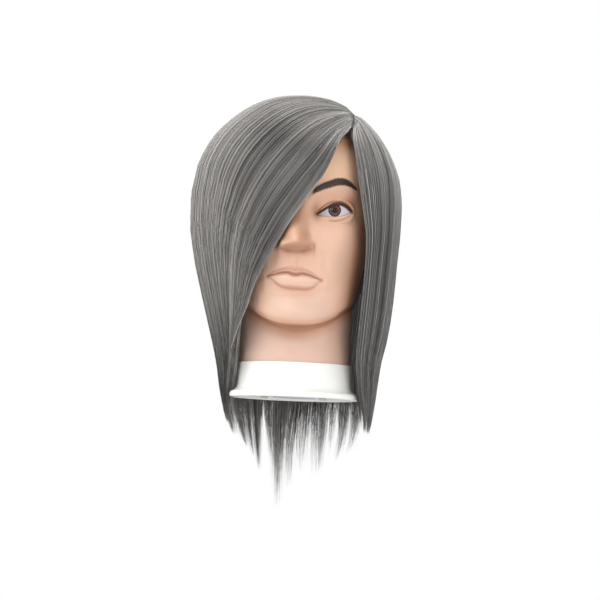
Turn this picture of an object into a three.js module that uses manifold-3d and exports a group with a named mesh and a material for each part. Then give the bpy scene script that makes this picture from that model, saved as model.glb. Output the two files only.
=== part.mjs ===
// Mannequin training head: soft vinyl head with implanted grey hair on a white flanged neck base.
// Millimetres, +Z up. The face looks along -Y, so +X is the mannequin's left. Heights are counted
// from the flange's flat underside; the finished head is then lowered so that its origin is the
// centre of the holder socket's closed end. Each piece that comes apart on a bench is one mesh.
import * as THREE from "three";
import { mergeVertices } from "three/addons/utils/BufferGeometryUtils.js";
import Module from "manifold-3d";

const wasm = await Module();
wasm.setup();
const { smoothstep } = THREE.MathUtils;

// ---------------------------------------------------------------- driving dimensions
const LEFT = 1; // sign of x on each side
const RIGHT = -1;
const SIDES = [LEFT, RIGHT];

// Neck base: R is a radius, Z a height or a [bottom, top] pair
const COLLAR_R = 55.5;
const COLLAR_INNER_R = 53.4;
const COLLAR_TOP_Z = 33;
const FLANGE_R = 62.5;
const FLANGE_T = 5.8;
const REBATE_R = 56.2; // rebate under the collar that takes the base disc
const REBATE_Z = 6.0;
const DISC_R = REBATE_R - 0.4;
const DISC_Z = [2.8, 5.7];
const PLUG_R = 48.0; // hard plug glued in the neck bottom
const PLUG_Z = [6.3, 26.0];

// Holder socket
const SOCKET_END_Z = 109; // closed end, where the holder's peg bears: the origin
const SLEEVE_BORE_R = 13.2; // takes the peg of a 26 mm head holder
const SLEEVE_R = 15.8;
const SLEEVE_TOP_Z = SOCKET_END_Z + 3;
const SLEEVE_HOLE_R = SLEEVE_R + 0.4;
const SLEEVE_RIM_R = 20;
const SLEEVE_RIM_Z = [0.8, 2.4];

// Base screws
const SCREW_COUNT = 4;
const SCREW_CIRCLE_R = 40;
const SCREW_R = 1.85;
const SCREW_HOLE_R = SCREW_R + 0.35;
const SCREW_HEAD_R = 3.6;
const SCREW_HEAD_Z = [0.6, DISC_Z[0] - 0.3];
const SCREW_SHANK_Z = [2.0, 18.5];

// Skin and filling
const SKIN_T = 3.5;
const FOAM_GAP = 0.5; // between skin and foam
const LEAN = 0.0226; // each mm in front of the neck's axis sits this much lower

// Eyes: centre and radii of the left oval insert; depths run back from its front
const EYE_X = 31.0;
const EYE_Y = -67.6;
const EYE_Z = 173.1;
const EYE_RADII = [18.2, 13.0, 13.6];
const EYE_FRONT_Y = EYE_Y - EYE_RADII[1];
const EYE_BACK_Y = EYE_Y + 2; // flat back
const EYE_CUT = 30; // reach of the block that trims the back
const IRIS_R = 6.4;
const RECESS_R = IRIS_R + 0.3;
const CORNEA_DEPTH = 1.5;
const IRIS_DEPTHS = [1.9, 3.0];
const RECESS_DEPTH = 3.4;
const EYE_CUT_FRONT_Y = EYE_FRONT_Y - 4; // clear of the dome's front
const EYE_POCKET_WALL = 1.5;
const EYE_GAP_IN_SKIN = 0.4;
const EYE_GAP_IN_FOAM = 0.6;

// Hair
const PART_X = 47.0; // hair parting, side flap and fringe meet here
const FRINGE_Y = -12; // the fringe hangs in front of this plane
const BACK_Y = 60; // the back hair hangs behind this plane
const SIDE_X = -60; // the right side flap hangs outside this plane
const GAP = 0.5; // half the gap between neighbouring hair solids
const CROWN_BOTTOM_Z = 200;
const SIDE_RIGHT_BOTTOM_Z = -18;
const BACK_BOTTOM_Z = -200;
const ABOVE_Z = 320; // above all hair
const BEYOND = 400; // outside the head in any direction

// ---------------------------------------------------------------- materials
const paint = (settings) => new THREE.MeshStandardMaterial(settings);
const MATERIALS = {
  skin: paint({ color: 0xe3b896, roughness: 0.5 }),
  white: paint({ color: 0xf4f4f0, roughness: 0.35 }),
  foam: paint({ color: 0xe8d9a8, roughness: 0.95 }),
  plug: paint({ color: 0xd8d8d4, roughness: 0.5 }),
  sleeve: paint({ color: 0xc9ccd0, roughness: 0.4 }),
  steel: paint({ color: 0xb8bbc0, roughness: 0.3, metalness: 1 }),
  eye: paint({ color: 0xf3f1ee, roughness: 0.12 }),
  iris: paint({ color: 0x5d3f3b, roughness: 0.2 }),
  cornea: paint({ color: 0xf8f8ff, roughness: 0.02 }),
  scalp: paint({ color: 0x8d8078, roughness: 0.6 }),
  hair: paint({ color: 0x7d7b79, roughness: 0.45 }),
  hairUnder: paint({ color: 0x4c4b4b, roughness: 0.5 }),
};

// ---------------------------------------------------------------- solids
function toSolid(geometry) {
  const loose = geometry.index ? geometry.toNonIndexed() : geometry;
  const bare = new THREE.BufferGeometry().setAttribute("position", loose.getAttribute("position"));
  const welded = mergeVertices(bare, 1e-3);
  const solid = new wasm.Manifold(
    new wasm.Mesh({
      numProp: 3,
      vertProperties: new Float32Array(welded.attributes.position.array),
      triVerts: new Uint32Array(welded.index.array),
    }),
  );
  if (solid.volume() < 0) throw new Error("inside out");
  return solid;
}

function toGeometry(solid) {
  const mesh = solid.getMesh();
  const geometry = new THREE.BufferGeometry()
    .setAttribute("position", new THREE.BufferAttribute(new Float32Array(mesh.vertProperties), 3))
    .setIndex(new THREE.BufferAttribute(new Uint32Array(mesh.triVerts), 1));
  geometry.computeVertexNormals();
  return geometry;
}

// The largest separate part of a solid; trimming can leave crumbs.
const largest = (solid) => solid.decompose().sort((a, b) => b.volume() - a.volume())[0];

// A closed solid lofted through rings of equally many points, listed from the bottom up, each ring
// running anticlockwise seen from above. The ends close on a fan to the ring's mean point.
function loft(rings) {
  const count = rings[0].length;
  const positions = rings.flat(2);
  const indices = [];
  for (let k = 0; k + 1 < rings.length; k++)
    for (let i = 0; i < count; i++) {
      const a = k * count + i;
      const b = k * count + ((i + 1) % count);
      indices.push(a, b, b + count, a, b + count, a + count);
    }
  const closeEnd = (k, facesUp) => {
    const mean = rings[k].reduce((sum, p) => sum.map((s, axis) => s + p[axis] / count), [0, 0, 0]);
    const hub = positions.length / 3;
    positions.push(...mean);
    for (let i = 0; i < count; i++) {
      const a = k * count + i;
      const b = k * count + ((i + 1) % count);
      if (facesUp) indices.push(a, b, hub);
      else indices.push(b, a, hub);
    }
  };
  closeEnd(0, false);
  closeEnd(rings.length - 1, true);
  const geometry = new THREE.BufferGeometry()
    .setAttribute("position", new THREE.BufferAttribute(new Float32Array(positions), 3))
    .setIndex(indices);
  return toSolid(geometry);
}

// A solid of revolution about Z. The closed [radius, z] profile runs up its outer side.
function turned(profile, segments = 36) {
  const points = [...profile, profile[0]].map(([r, z]) => new THREE.Vector2(r, z));
  const geometry = new THREE.LatheGeometry(points, segments);
  geometry.rotateX(Math.PI / 2);
  return toSolid(geometry);
}

// A ring of rectangular section about Z.
const washer = (innerR, outerR, [z0, z1]) =>
  turned([
    [innerR, z0],
    [outerR, z0],
    [outerR, z1],
    [innerR, z1],
  ]);

function cylinderAlongZ(radius, [z0, z1], [x, y], segments) {
  const geometry = new THREE.CylinderGeometry(radius, radius, z1 - z0, segments);
  geometry.rotateX(Math.PI / 2);
  geometry.translate(x, y, (z0 + z1) / 2);
  return toSolid(geometry);
}

function cylinderAlongY(radius, [y0, y1], x, z) {
  const geometry = new THREE.CylinderGeometry(radius, radius, y1 - y0, 20);
  geometry.translate(x, (y0 + y1) / 2, z);
  return toSolid(geometry);
}

function box([x0, x1], [y0, y1], [z0, z1]) {
  const geometry = new THREE.BoxGeometry(x1 - x0, y1 - y0, z1 - z0);
  geometry.translate((x0 + x1) / 2, (y0 + y1) / 2, (z0 + z1) / 2);
  return toSolid(geometry);
}

function ellipsoid(centre, radii, segments) {
  const geometry = new THREE.SphereGeometry(1, segments, 10);
  geometry.rotateX(Math.PI / 2);
  geometry.scale(...radii);
  geometry.translate(...centre);
  return toSolid(geometry);
}

function extrude(outline, depth) {
  const shape = new THREE.Shape(outline.map(([h, v]) => new THREE.Vector2(h, v)));
  return new THREE.ExtrudeGeometry(shape, { depth, bevelEnabled: false });
}

// An [x, z] outline extruded along Y.
function prismAlongY(outline, [y0, y1]) {
  const geometry = extrude(outline, y1 - y0);
  geometry.rotateX(Math.PI / 2); // the depth now runs along -Y
  geometry.translate(0, y1, 0);
  return toSolid(geometry);
}

// A [y, z] outline extruded along X, centred on x = 0.
function prismAlongX(outline, width) {
  const geometry = extrude(outline, width);
  const turn = new THREE.Matrix4();
  turn.set(0, 0, 1, -width / 2, 1, 0, 0, 0, 0, 1, 0, 0, 0, 0, 0, 1);
  geometry.applyMatrix4(turn);
  return toSolid(geometry);
}

// ---------------------------------------------------------------- curves
// Catmull-Rom through rows of numbers, at parameter u in 0..rows-1.
function rowAt(rows, u) {
  const k = Math.min(rows.length - 2, Math.max(0, Math.floor(u)));
  const f = u - k;
  const clampedRow = (i) => rows[Math.min(rows.length - 1, Math.max(0, i))];
  const [before, start, end, after] = [k - 1, k, k + 1, k + 2].map(clampedRow);
  return start.map((s, column) => {
    const b = before[column];
    const e = end[column];
    const a = after[column];
    return s + 0.5 * f * (e - b + f * (2 * b - 5 * s + 4 * e - a + f * (3 * (s - e) + a - b)));
  });
}

// Looks x up in [x, value] stops; ease shapes the run from one stop to the next.
function lookup(stops, x, ease) {
  if (x <= stops[0][0]) return stops[0][1];
  for (let i = 1; i < stops.length; i++) {
    const [x0, value0] = stops[i - 1];
    const [x1, value1] = stops[i];
    if (x <= x1) return value0 + (value1 - value0) * ease((x - x0) / (x1 - x0));
  }
  return stops[stops.length - 1][1];
}
const straight = (f) => f;
const eased = (f) => smoothstep(f, 0, 1);

const bell = (x, centre, width) => Math.exp(-(((x - centre) / width) ** 2));

// A sine or cosine bent to a superellipse's; exponent 2 gives the plain ellipse.
const squared = (value, exponent) => Math.sign(value) * Math.abs(value) ** (2 / exponent);

// ---------------------------------------------------------------- the head's surface
// One ring round the head per row: front z, front y, side z, half width, y of the widest point,
// back z, back y, exponent of the front half, exponent of the back half.
const HEAD = [
  [8, -53.1, 8, 53.1, 0, 8, 53.1, 2, 2],
  [36, -53.1, 36, 53.1, 0, 36, 53.1, 2, 2],
  [50, -52.6, 54, 53.0, 0, 56, 53.4, 2, 2],
  [62, -52.4, 78, 53.2, 0, 80, 56.5, 2, 2],
  [67.2, -55.5, 90, 53.2, 1, 88, 59.5, 2, 2],
  [66.2, -69, 92, 53.4, 2, 94, 62.5, 2.05, 2],
  [65.2, -80.5, 94, 54.2, 3, 100, 66, 2.1, 2],
  [70, -86.6, 100, 55.8, 4, 108, 71, 2.15, 2],
  [80, -88, 108.5, 58.0, 5, 117, 77, 2.15, 2],
  [96, -87, 121.5, 61.4, 6, 129, 85.5, 2.15, 2],
  [115, -87.5, 134, 65.0, 7, 142, 92.5, 2.15, 2.05],
  [139, -88, 150, 69.0, 8, 157, 98, 2.2, 2.1],
  [165, -88, 170, 72.4, 10, 174, 101, 2.25, 2.1],
  [188, -88, 190, 74.6, 12, 192, 101.5, 2.3, 2.1],
  [205, -89.5, 206, 75, 12, 207, 100, 2.3, 2.1],
  [223, -87.5, 223, 73.5, 12, 223, 95.5, 2.25, 2.1],
  [239, -80, 239, 68.5, 11, 239, 86.5, 2.15, 2.05],
  [253, -66.5, 253, 59, 9, 253, 73, 2.05, 2],
  [263.5, -47.5, 263.5, 46, 7, 263.5, 56, 2, 2],
  [270, -26, 270, 30, 5, 270, 36, 2, 2],
  [273, -8, 273, 12, 4.5, 273, 17, 2, 2],
];
const HEAD_LAST = HEAD.length - 1;

// Nose ridge: z, how far it stands out.
const NOSE = [
  [130.5, 0], [133, 3], [135.5, 11], [138.5, 20], [142, 24],
  [148.5, 18.5], [158.5, 12], [168.5, 6], [179, 2], [189, 0],
];

// Bumps and hollows, the same on both sides: height (negative is a hollow), distance of the centre
// from the midline, width across, z of the centre, width in z.
const FACE_FORMS = [
  [8.5, 11.8, 5, 139.5, 5.5], // nostril wings
  [3.5, 0, 15, 147, 16], // broad mound under the nose
  [4.5, 0, 18, 116, 4.2], // upper lip
  [5.0, 0, 16.5, 105.5, 5.2], // lower lip
  [2.5, 0, 29, 112, 15], // broad mound under the lips
  [-3.0, 0, 20, 95.5, 4.5], // mentolabial fold
  [3.5, 0, 19, 79, 10], // chin
  [-9.5, 31.5, 17, 175, 12], // eye sockets
  [3.0, 29, 20, 195.5, 7], // brow
  [3.2, 46, 14, 153, 13], // cheekbones
  [-2.0, 44, 12, 120, 14], // cheek hollows
];

// Forward relief of the face at (x, z), positive towards the viewer.
function relief(x, z) {
  const across = Math.abs(x);
  const noseWidth = 6 + 3.5 * bell(z, 141.5, 10);
  let height = lookup(NOSE, z, eased) * Math.exp(-((across / noseWidth) ** 2.2));
  for (const [rise, centre, width, centreZ, widthZ] of FACE_FORMS)
    height += rise * bell(across, centre, width) * bell(z, centreZ, widthZ);
  return height;
}

// A point of the head's surface: u runs up the rings, phi round from the front (0) through +X.
// offset grows or shrinks the surface. raised scales the relief's raised parts, while hollows keep
// their full depth; 0 leaves the relief out altogether.
function headPoint(u, phi, offset, raised) {
  const row = rowAt(HEAD, u);
  const [frontZ, frontY, sideZ, halfWidth, widestY, backZ, backY, frontExp, backExp] = row;
  const c = Math.cos(phi);
  const isFront = c > 0;
  const exponent = isFront ? frontExp : backExp;
  const x = (halfWidth + offset) * squared(Math.sin(phi), exponent);
  const along = Math.abs(c) ** (2 / exponent);
  const z = sideZ + ((isFront ? frontZ : backZ) - sideZ) * c * c;
  let y = isFront
    ? widestY - (widestY - frontY + offset) * along
    : widestY + (backY - widestY + offset) * along;
  if (raised > 0 && isFront) {
    const mask = smoothstep(c, 0.15, 0.55) * smoothstep(z, 61, 69);
    const height = relief(x, z);
    y -= (height > 0 ? height * raised : height) * mask;
  }
  // The offset also lifts the crown and lowers the underside of the jaw.
  const crown = smoothstep(u, HEAD_LAST - 7, HEAD_LAST);
  const jawRows = smoothstep(u, 2.4, 4) * (1 - smoothstep(u, 6, 7.5));
  const jaw = jawRows * (0.35 + 0.65 * Math.max(0, c));
  return [x, y, z + LEAN * Math.min(y, 0) + offset * (crown - jaw)];
}

// Fraction of the rings to row of HEAD: rings crowd between the mouth and the eyes.
const CROWDED_ROWS = [
  [0, 1], [0.2, 8], [0.32, 9.5], [0.8, 12.6], [0.88, 14.5], [1, HEAD_LAST],
];
const crowdedRow = (t) => lookup(CROWDED_ROWS, t, straight);
const evenRow = (t) => 1 + (HEAD_LAST - 1) * t;

// Ways to mesh the head. warp gathers the columns towards the face; bottomZ, where given, carries
// the neck down to that height.
const FULL_FACE = { raised: 1, rings: 40, columns: 44, warp: 0.6, rowFor: crowdedRow };
const LINING = {
  raised: 0.001, rings: 18, columns: 24, warp: 0.45, rowFor: evenRow, bottomZ: 0,
};
const NO_FACE = { raised: 0, rings: 15, columns: 22, warp: 0.1, rowFor: evenRow };

// The head as a closed solid, offset mm outside the skin's outer surface.
function headSolid(offset, { raised, rings, columns, warp, rowFor, bottomZ }) {
  const ringAt = (u) =>
    Array.from({ length: columns }, (_, i) => {
      const t = -Math.PI + (2 * Math.PI * i) / columns;
      return headPoint(u, t - warp * Math.sin(t), offset, raised);
    });
  const stack = [ringAt(0).map(([x, y, z]) => [x, y, bottomZ ?? z])];
  for (let k = 0; k <= rings; k++) stack.push(ringAt(rowFor(k / rings)));
  return loft(stack);
}

// ---------------------------------------------------------------- neck base
const neckCollar = () =>
  turned([
    [COLLAR_INNER_R, COLLAR_TOP_Z],
    [COLLAR_INNER_R, REBATE_Z],
    [REBATE_R, REBATE_Z],
    [REBATE_R, 0],
    [FLANGE_R - 1.2, 0],
    [FLANGE_R, 1.2],
    [FLANGE_R, FLANGE_T - 1.4],
    [FLANGE_R - 1.4, FLANGE_T - 0.1],
    [58.2, 6.8],
    [56.3, 8.2],
    [COLLAR_R, 10.5],
    [COLLAR_R, COLLAR_TOP_Z - 0.6],
    [COLLAR_R - 0.6, COLLAR_TOP_Z],
  ]);

const screwPlaces = Array.from({ length: SCREW_COUNT }, (_, k) => {
  const angle = Math.PI / 4 + (k * 2 * Math.PI) / SCREW_COUNT;
  return [SCREW_CIRCLE_R * Math.cos(angle), SCREW_CIRCLE_R * Math.sin(angle)];
});

const baseScrew = (place) =>
  cylinderAlongZ(SCREW_HEAD_R, SCREW_HEAD_Z, place, 14)
    .add(cylinderAlongZ(SCREW_R, SCREW_SHANK_Z, place, 12));

const drillForScrews = (solid, spanZ) =>
  screwPlaces.reduce(
    (left, place) => left.subtract(cylinderAlongZ(SCREW_HOLE_R, spanZ, place, 12)),
    solid,
  );

const baseDisc = () => drillForScrews(washer(SLEEVE_HOLE_R, DISC_R, DISC_Z), [0, 8]);

// The screw holes are blind, ending inside the plug.
const neckPlug = () => drillForScrews(washer(SLEEVE_HOLE_R, PLUG_R, PLUG_Z), [4, 20]);

const mountSleeve = () =>
  turned([
    [0, SLEEVE_TOP_Z],
    [0, SOCKET_END_Z],
    [SLEEVE_BORE_R, SOCKET_END_Z],
    [SLEEVE_BORE_R, SLEEVE_RIM_Z[0]],
    [SLEEVE_RIM_R, SLEEVE_RIM_Z[0]],
    [SLEEVE_RIM_R, SLEEVE_RIM_Z[1]],
    [SLEEVE_R, SLEEVE_RIM_Z[1]],
    [SLEEVE_R, SLEEVE_TOP_Z],
  ], 24);

// ---------------------------------------------------------------- eyes
const eyeOval = (side, grow) =>
  ellipsoid([side * EYE_X, EYE_Y, EYE_Z], EYE_RADII.map((r) => r + grow), 18);

const eyeCylinder = (side, radius, spanY) => cylinderAlongY(radius, spanY, side * EYE_X, EYE_Z);

// An oval dome with a flat back and a recess for the iris.
function eyeWhite(side) {
  const x = side * EYE_X;
  const behind = box(
    [x - EYE_CUT, x + EYE_CUT],
    [EYE_BACK_Y, EYE_Y + EYE_CUT],
    [EYE_Z - EYE_CUT, EYE_Z + EYE_CUT],
  );
  const recess = eyeCylinder(side, RECESS_R, [EYE_CUT_FRONT_Y, EYE_FRONT_Y + RECESS_DEPTH]);
  return eyeOval(side, 0).subtract(behind).subtract(recess);
}

const eyeIris = (side) =>
  eyeCylinder(side, IRIS_R, IRIS_DEPTHS.map((depth) => EYE_FRONT_Y + depth));

// The clear cornea continues the dome's curve over the iris.
const eyeCornea = (side) =>
  eyeOval(side, 0)
    .intersect(eyeCylinder(side, IRIS_R, [EYE_CUT_FRONT_Y, EYE_FRONT_Y + CORNEA_DEPTH]));

// Almond outline of the eyelids' opening, upper lid first.
function eyeOpening(side) {
  const steps = 9;
  const halfWidth = 15.8;
  const upperHeight = 7.0;
  const lowerHeight = 5.0;
  const points = [];
  for (let i = 0; i < steps; i++) {
    const t = -1 + (2 * i) / steps;
    points.push([t * halfWidth, upperHeight * (1 - t * t) ** 0.75 * (1 + 0.15 * t)]);
  }
  for (let i = 0; i < steps; i++) {
    const t = 1 - (2 * i) / steps;
    points.push([t * halfWidth, -lowerHeight * (1 - t * t) ** 0.8]);
  }
  // The outer corner sits a little higher than the inner one.
  return points.map(([x, z]) => [side * (EYE_X + x), EYE_Z - 0.5 + z + 0.06 * x]);
}

// ---------------------------------------------------------------- skin and foam
// A flattened oval set in the side of the head, standing out at the back edge.
function ear(side) {
  const geometry = new THREE.SphereGeometry(1, 14, 10);
  geometry.scale(5.2, 15, 29);
  geometry.rotateY(side * -0.1);
  geometry.rotateZ(side * 0.32);
  geometry.rotateX(0.12);
  geometry.translate(side * 76, 11, 162);
  return toSolid(geometry);
}

function headSkin() {
  let skin = headSolid(0, FULL_FACE);
  for (const side of SIDES) skin = skin.add(ear(side)).add(eyeOval(side, EYE_POCKET_WALL));
  skin = skin.subtract(headSolid(-SKIN_T, LINING));
  for (const side of SIDES)
    skin = skin
      .subtract(eyeOval(side, EYE_GAP_IN_SKIN))
      .subtract(prismAlongY(eyeOpening(side), [-130, -66]));
  return largest(skin);
}

// Fills the skin above the neck plug, round the sleeve.
function foamCore() {
  let foam = headSolid(-SKIN_T - FOAM_GAP, LINING)
    .subtract(box([-200, 200], [-200, 200], [-20, PLUG_Z[1] + 0.4]))
    .subtract(cylinderAlongZ(SLEEVE_HOLE_R, [0, SLEEVE_TOP_Z + 0.6], [0, 0], 24));
  for (const side of SIDES) foam = foam.subtract(eyeOval(side, EYE_GAP_IN_FOAM));
  return largest(foam);
}

// ---------------------------------------------------------------- scalp layers
// All that lies above the hairline's plane, which falls towards the back; lift raises the plane.
function aboveHairline(lift) {
  const reachY = 160;
  const planeZ = (y) => 243 + lift - 0.92 * (y + 80);
  const outline = [
    [-reachY, planeZ(-reachY)],
    [reachY, planeZ(reachY)],
    [reachY, BEYOND],
    [-reachY, BEYOND],
  ];
  return prismAlongX(outline, 400);
}

// A shell over the head above the hairline, with room for the ears.
function scalpLayer(innerOffset, outerOffset, lift) {
  let layer = headSolid(outerOffset, NO_FACE)
    .subtract(headSolid(innerOffset, NO_FACE))
    .intersect(aboveHairline(lift));
  for (const side of SIDES)
    layer = layer.subtract(ellipsoid([side * 78, 10, 164], [14, 21, 36], 14));
  return largest(layer);
}

// ---------------------------------------------------------------- hair
// Outside of the hair. Each row: z, right x (negative), left x, front y, back y, exponent.
const HAIR = [
  [-104, -30, 32, 40, 70, 2],
  [-60, -48, 58, 0, 80, 2],
  [-33, -62, 76, -25, 86, 2.1],
  [-5, -69, 80, -48, 91, 2.2],
  [35, -75, 83.5, -66, 96, 2.2],
  [58, -82, 87, -76, 99, 2.2],
  [83, -88.5, 90.5, -86, 103, 2.2],
  [107, -95, 92.5, -94, 108, 2.2],
  [134, -101.5, 94, -101, 113, 2.2],
  [163, -106, 96, -106, 116, 2.2],
  [187, -106.5, 96.5, -106, 117, 2.2],
  [211, -104, 94, -105.5, 115.5, 2.15],
  [230, -97.5, 87.5, -102, 111, 2.1],
  [249, -87, 77, -93, 102, 2.05],
  [265, -72, 63.5, -79, 87, 2],
  [278, -55, 47, -60, 67, 2],
  [287, -36, 30, -35, 42, 2],
  [290.8, -18, 12, -12, 20, 2],
];
// The hollow the hair hangs round, clear of the head, the ears and the neck base; same columns.
const HOLLOW = [
  [-112, -64, 66, -66, 66, 2],
  [-60, -64, 66, -66, 66, 2],
  [-33, -64.5, 66, -66, 67, 2],
  [-5, -65, 66, -66, 70, 2.1],
  [35, -66, 70, -66, 76, 2.2],
  [58, -72, 76, -72, 81, 2.2],
  [83, -78, 80, -82, 86, 2.2],
  [107, -84, 83, -92.5, 92, 2.2],
  [134, -88, 86, -98.5, 99, 2.2],
  [163, -90, 87.5, -99, 104.5, 2.2],
  [187, -90, 87.5, -98, 105.5, 2.2],
  [211, -87.5, 85, -97.5, 104.5, 2.15],
  [229, -83, 79, -94, 99.5, 2.1],
  [246, -74, 68, -85, 90, 2.05],
  [259, -60, 54, -70, 75, 2],
  [269, -43, 38, -50, 56, 2],
  [275, -24, 22, -26, 32, 2],
  [277.5, -10, 9, -8, 15, 2],
];
// [x, z] outline of the fringe: its lower edge runs from the parting down across the face to the
// mannequin's right.
const FRINGE_OUTLINE = [
  [PART_X - GAP, ABOVE_Z], [PART_X - GAP, 256], [39, 246.8], [32, 236.6], [27.5, 223.9],
  [19.2, 203.7], [9.4, 188.1], [-0.5, 172.4], [-11, 156.4], [-19, 141.9], [-25.5, 130.8],
  [-34.5, 114], [-41, 99.1], [-46.5, 79.3], [-55, 54.2], [-58.5, 30], [-62, 4.1], [-63, -20],
  [-200, -20], [-200, ABOVE_Z],
];
// [x, z] outline of the left side: it hangs from the parting, its front edge cut back from the cheek.
const LEFT_OUTLINE = [
  [PART_X + GAP, ABOVE_Z], [PART_X + GAP, 222], [52.7, 194.6], [57.5, 170.9], [60.8, 148.3],
  [60.4, 125.4], [59.1, 102.5], [56.9, 72], [55.6, 46.1], [57.4, 24.9], [60.6, 3.5],
  [65.5, -11.1], [76, -34], [200, -34], [200, ABOVE_Z],
];

function envelope(rows) {
  const columns = 30;
  const rings = rows.map(([z, rightX, leftX, frontY, backY, exponent]) =>
    Array.from({ length: columns }, (_, i) => {
      const phi = -Math.PI + (2 * Math.PI * (i + 0.5)) / columns;
      return [
        (rightX + leftX) / 2 + ((leftX - rightX) / 2) * squared(Math.sin(phi), exponent),
        (frontY + backY) / 2 + ((backY - frontY) / 2) * squared(-Math.cos(phi), exponent),
        z,
      ];
    }),
  );
  return loft(rings);
}

// All the hair in one solid, clear of the scalp layers and the face.
const wholeHair = () =>
  envelope(HAIR)
    .subtract(envelope(HOLLOW))
    .subtract(headSolid(7.0, NO_FACE))
    .subtract(headSolid(1.5, FULL_FACE));

// The region each section takes from the whole hair.
const MIDDLE_Y = [FRINGE_Y + GAP, BACK_Y - GAP];
const hairRegions = {
  hair_fringe: prismAlongY(FRINGE_OUTLINE, [-BEYOND, FRINGE_Y - GAP]),
  hair_crown: box([SIDE_X + GAP, PART_X - GAP], MIDDLE_Y, [CROWN_BOTTOM_Z, ABOVE_Z]),
  hair_side_left: prismAlongY(LEFT_OUTLINE, [-BEYOND, BACK_Y - GAP]),
  hair_side_right: box([-BEYOND, SIDE_X - GAP], MIDDLE_Y, [SIDE_RIGHT_BOTTOM_Z, ABOVE_Z]),
  hair_back: box([-BEYOND, BEYOND], [BACK_Y + GAP, BEYOND], [BACK_BOTTOM_Z, ABOVE_Z]),
};

// ---------------------------------------------------------------- assembly
const head = new THREE.Group();
head.name = "mannequin_training_head";
head.position.z = -SOCKET_END_Z;

function addPiece(name, solid, material) {
  const mesh = new THREE.Mesh(toGeometry(solid), material);
  mesh.name = name;
  head.add(mesh);
}

addPiece("neck_collar", neckCollar(), MATERIALS.white);
screwPlaces.forEach((place, k) =>
  addPiece(`base_screw_${k + 1}`, baseScrew(place), MATERIALS.steel),
);
addPiece("base_disc", baseDisc(), MATERIALS.white);
addPiece("neck_plug", neckPlug(), MATERIALS.plug);
addPiece("mount_sleeve", mountSleeve(), MATERIALS.sleeve);
for (const [label, side] of [["left", LEFT], ["right", RIGHT]]) {
  addPiece(`eye_white_${label}`, eyeWhite(side), MATERIALS.eye);
  addPiece(`eye_iris_${label}`, eyeIris(side), MATERIALS.iris);
  addPiece(`eye_cornea_${label}`, eyeCornea(side), MATERIALS.cornea);
}
addPiece("head_skin", headSkin(), MATERIALS.skin);
addPiece("foam_core", foamCore(), MATERIALS.foam);
addPiece("scalp_cap", scalpLayer(1.7, 3.2, 6), MATERIALS.scalp);
addPiece("hair_under_layer", scalpLayer(3.6, 6.6, 12), MATERIALS.hairUnder);
const hair = wholeHair();
for (const [name, region] of Object.entries(hairRegions))
  addPiece(name, largest(hair.intersect(region)), MATERIALS.hair);

export default head;
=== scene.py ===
"""A vinyl mannequin head with long grey hair, on a collared neck with a base disc and four screws.

The head stands upright along Z, faces -Y, and its left is +X. Its hair parts on its left.
Shapes are in millimetres above the collar's flat underside. to_row() turns them into metres.
"""
import math

import bmesh
import bpy
import numpy as np
from mathutils import Matrix, Vector


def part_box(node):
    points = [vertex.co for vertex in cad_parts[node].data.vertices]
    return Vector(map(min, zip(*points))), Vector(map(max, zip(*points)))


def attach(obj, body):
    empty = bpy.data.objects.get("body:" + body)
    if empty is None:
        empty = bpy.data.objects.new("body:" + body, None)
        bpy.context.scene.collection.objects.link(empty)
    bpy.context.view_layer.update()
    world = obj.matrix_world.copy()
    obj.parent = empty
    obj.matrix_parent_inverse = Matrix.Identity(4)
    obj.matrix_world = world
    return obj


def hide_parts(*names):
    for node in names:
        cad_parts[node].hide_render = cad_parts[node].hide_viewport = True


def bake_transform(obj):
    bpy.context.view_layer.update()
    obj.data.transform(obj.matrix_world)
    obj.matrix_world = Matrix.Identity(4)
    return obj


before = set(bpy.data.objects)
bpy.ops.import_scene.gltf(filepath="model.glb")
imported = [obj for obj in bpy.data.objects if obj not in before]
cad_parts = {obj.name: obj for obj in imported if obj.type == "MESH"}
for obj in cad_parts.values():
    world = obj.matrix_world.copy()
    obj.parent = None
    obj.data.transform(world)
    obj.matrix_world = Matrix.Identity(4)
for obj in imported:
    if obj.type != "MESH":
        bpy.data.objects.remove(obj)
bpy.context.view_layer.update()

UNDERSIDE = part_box("neck_collar")[0].z  # metres
TAU = 2 * np.pi
# The head leans: z changes by this much per mm of y, so that the face sits slightly lower.
LEAN = 0.0226


def to_row(points):
    metres = np.asarray(points, float) * 0.001
    metres[..., 2] += UNDERSIDE
    return metres


# ------------------------------------------------------------------ numeric helpers
def bell(x, centre, spread):
    return np.exp(-(((x - centre) / spread) ** 2))


def rise(start, end, x):
    """Smooth step from 0 at start to 1 at end."""
    t = np.clip((np.asarray(x, float) - start) / (end - start), 0, 1)
    return t * t * (3 - 2 * t)


def fall(start, end, x):
    return 1 - rise(start, end, x)


def unit(vectors):
    return vectors / (np.linalg.norm(vectors, axis=-1, keepdims=True) + 1e-9)


def outward(normals, spokes):
    """Unit normals, turned to the side that the spokes point to."""
    normals = unit(normals)
    sign = np.sign((normals * spokes).sum(-1, keepdims=True))
    return normals * np.where(sign == 0, 1, sign)


def rows_at(rows, at):
    """Catmull-Rom through the rows of a table at fractional row numbers."""
    rows = np.asarray(rows, float)
    last = len(rows) - 1
    at = np.asarray(at, float)
    k = np.clip(np.floor(at).astype(int), 0, last - 1)
    t = (at - k)[..., None]
    before, here = rows[np.clip(k - 1, 0, last)], rows[k]
    after, beyond = rows[np.clip(k + 1, 0, last)], rows[np.clip(k + 2, 0, last)]
    square = 2 * before - 5 * here + 4 * after - beyond
    cube = 3 * (here - after) + beyond - before
    return here + 0.5 * t * (after - before + t * (square + t * cube))


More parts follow.
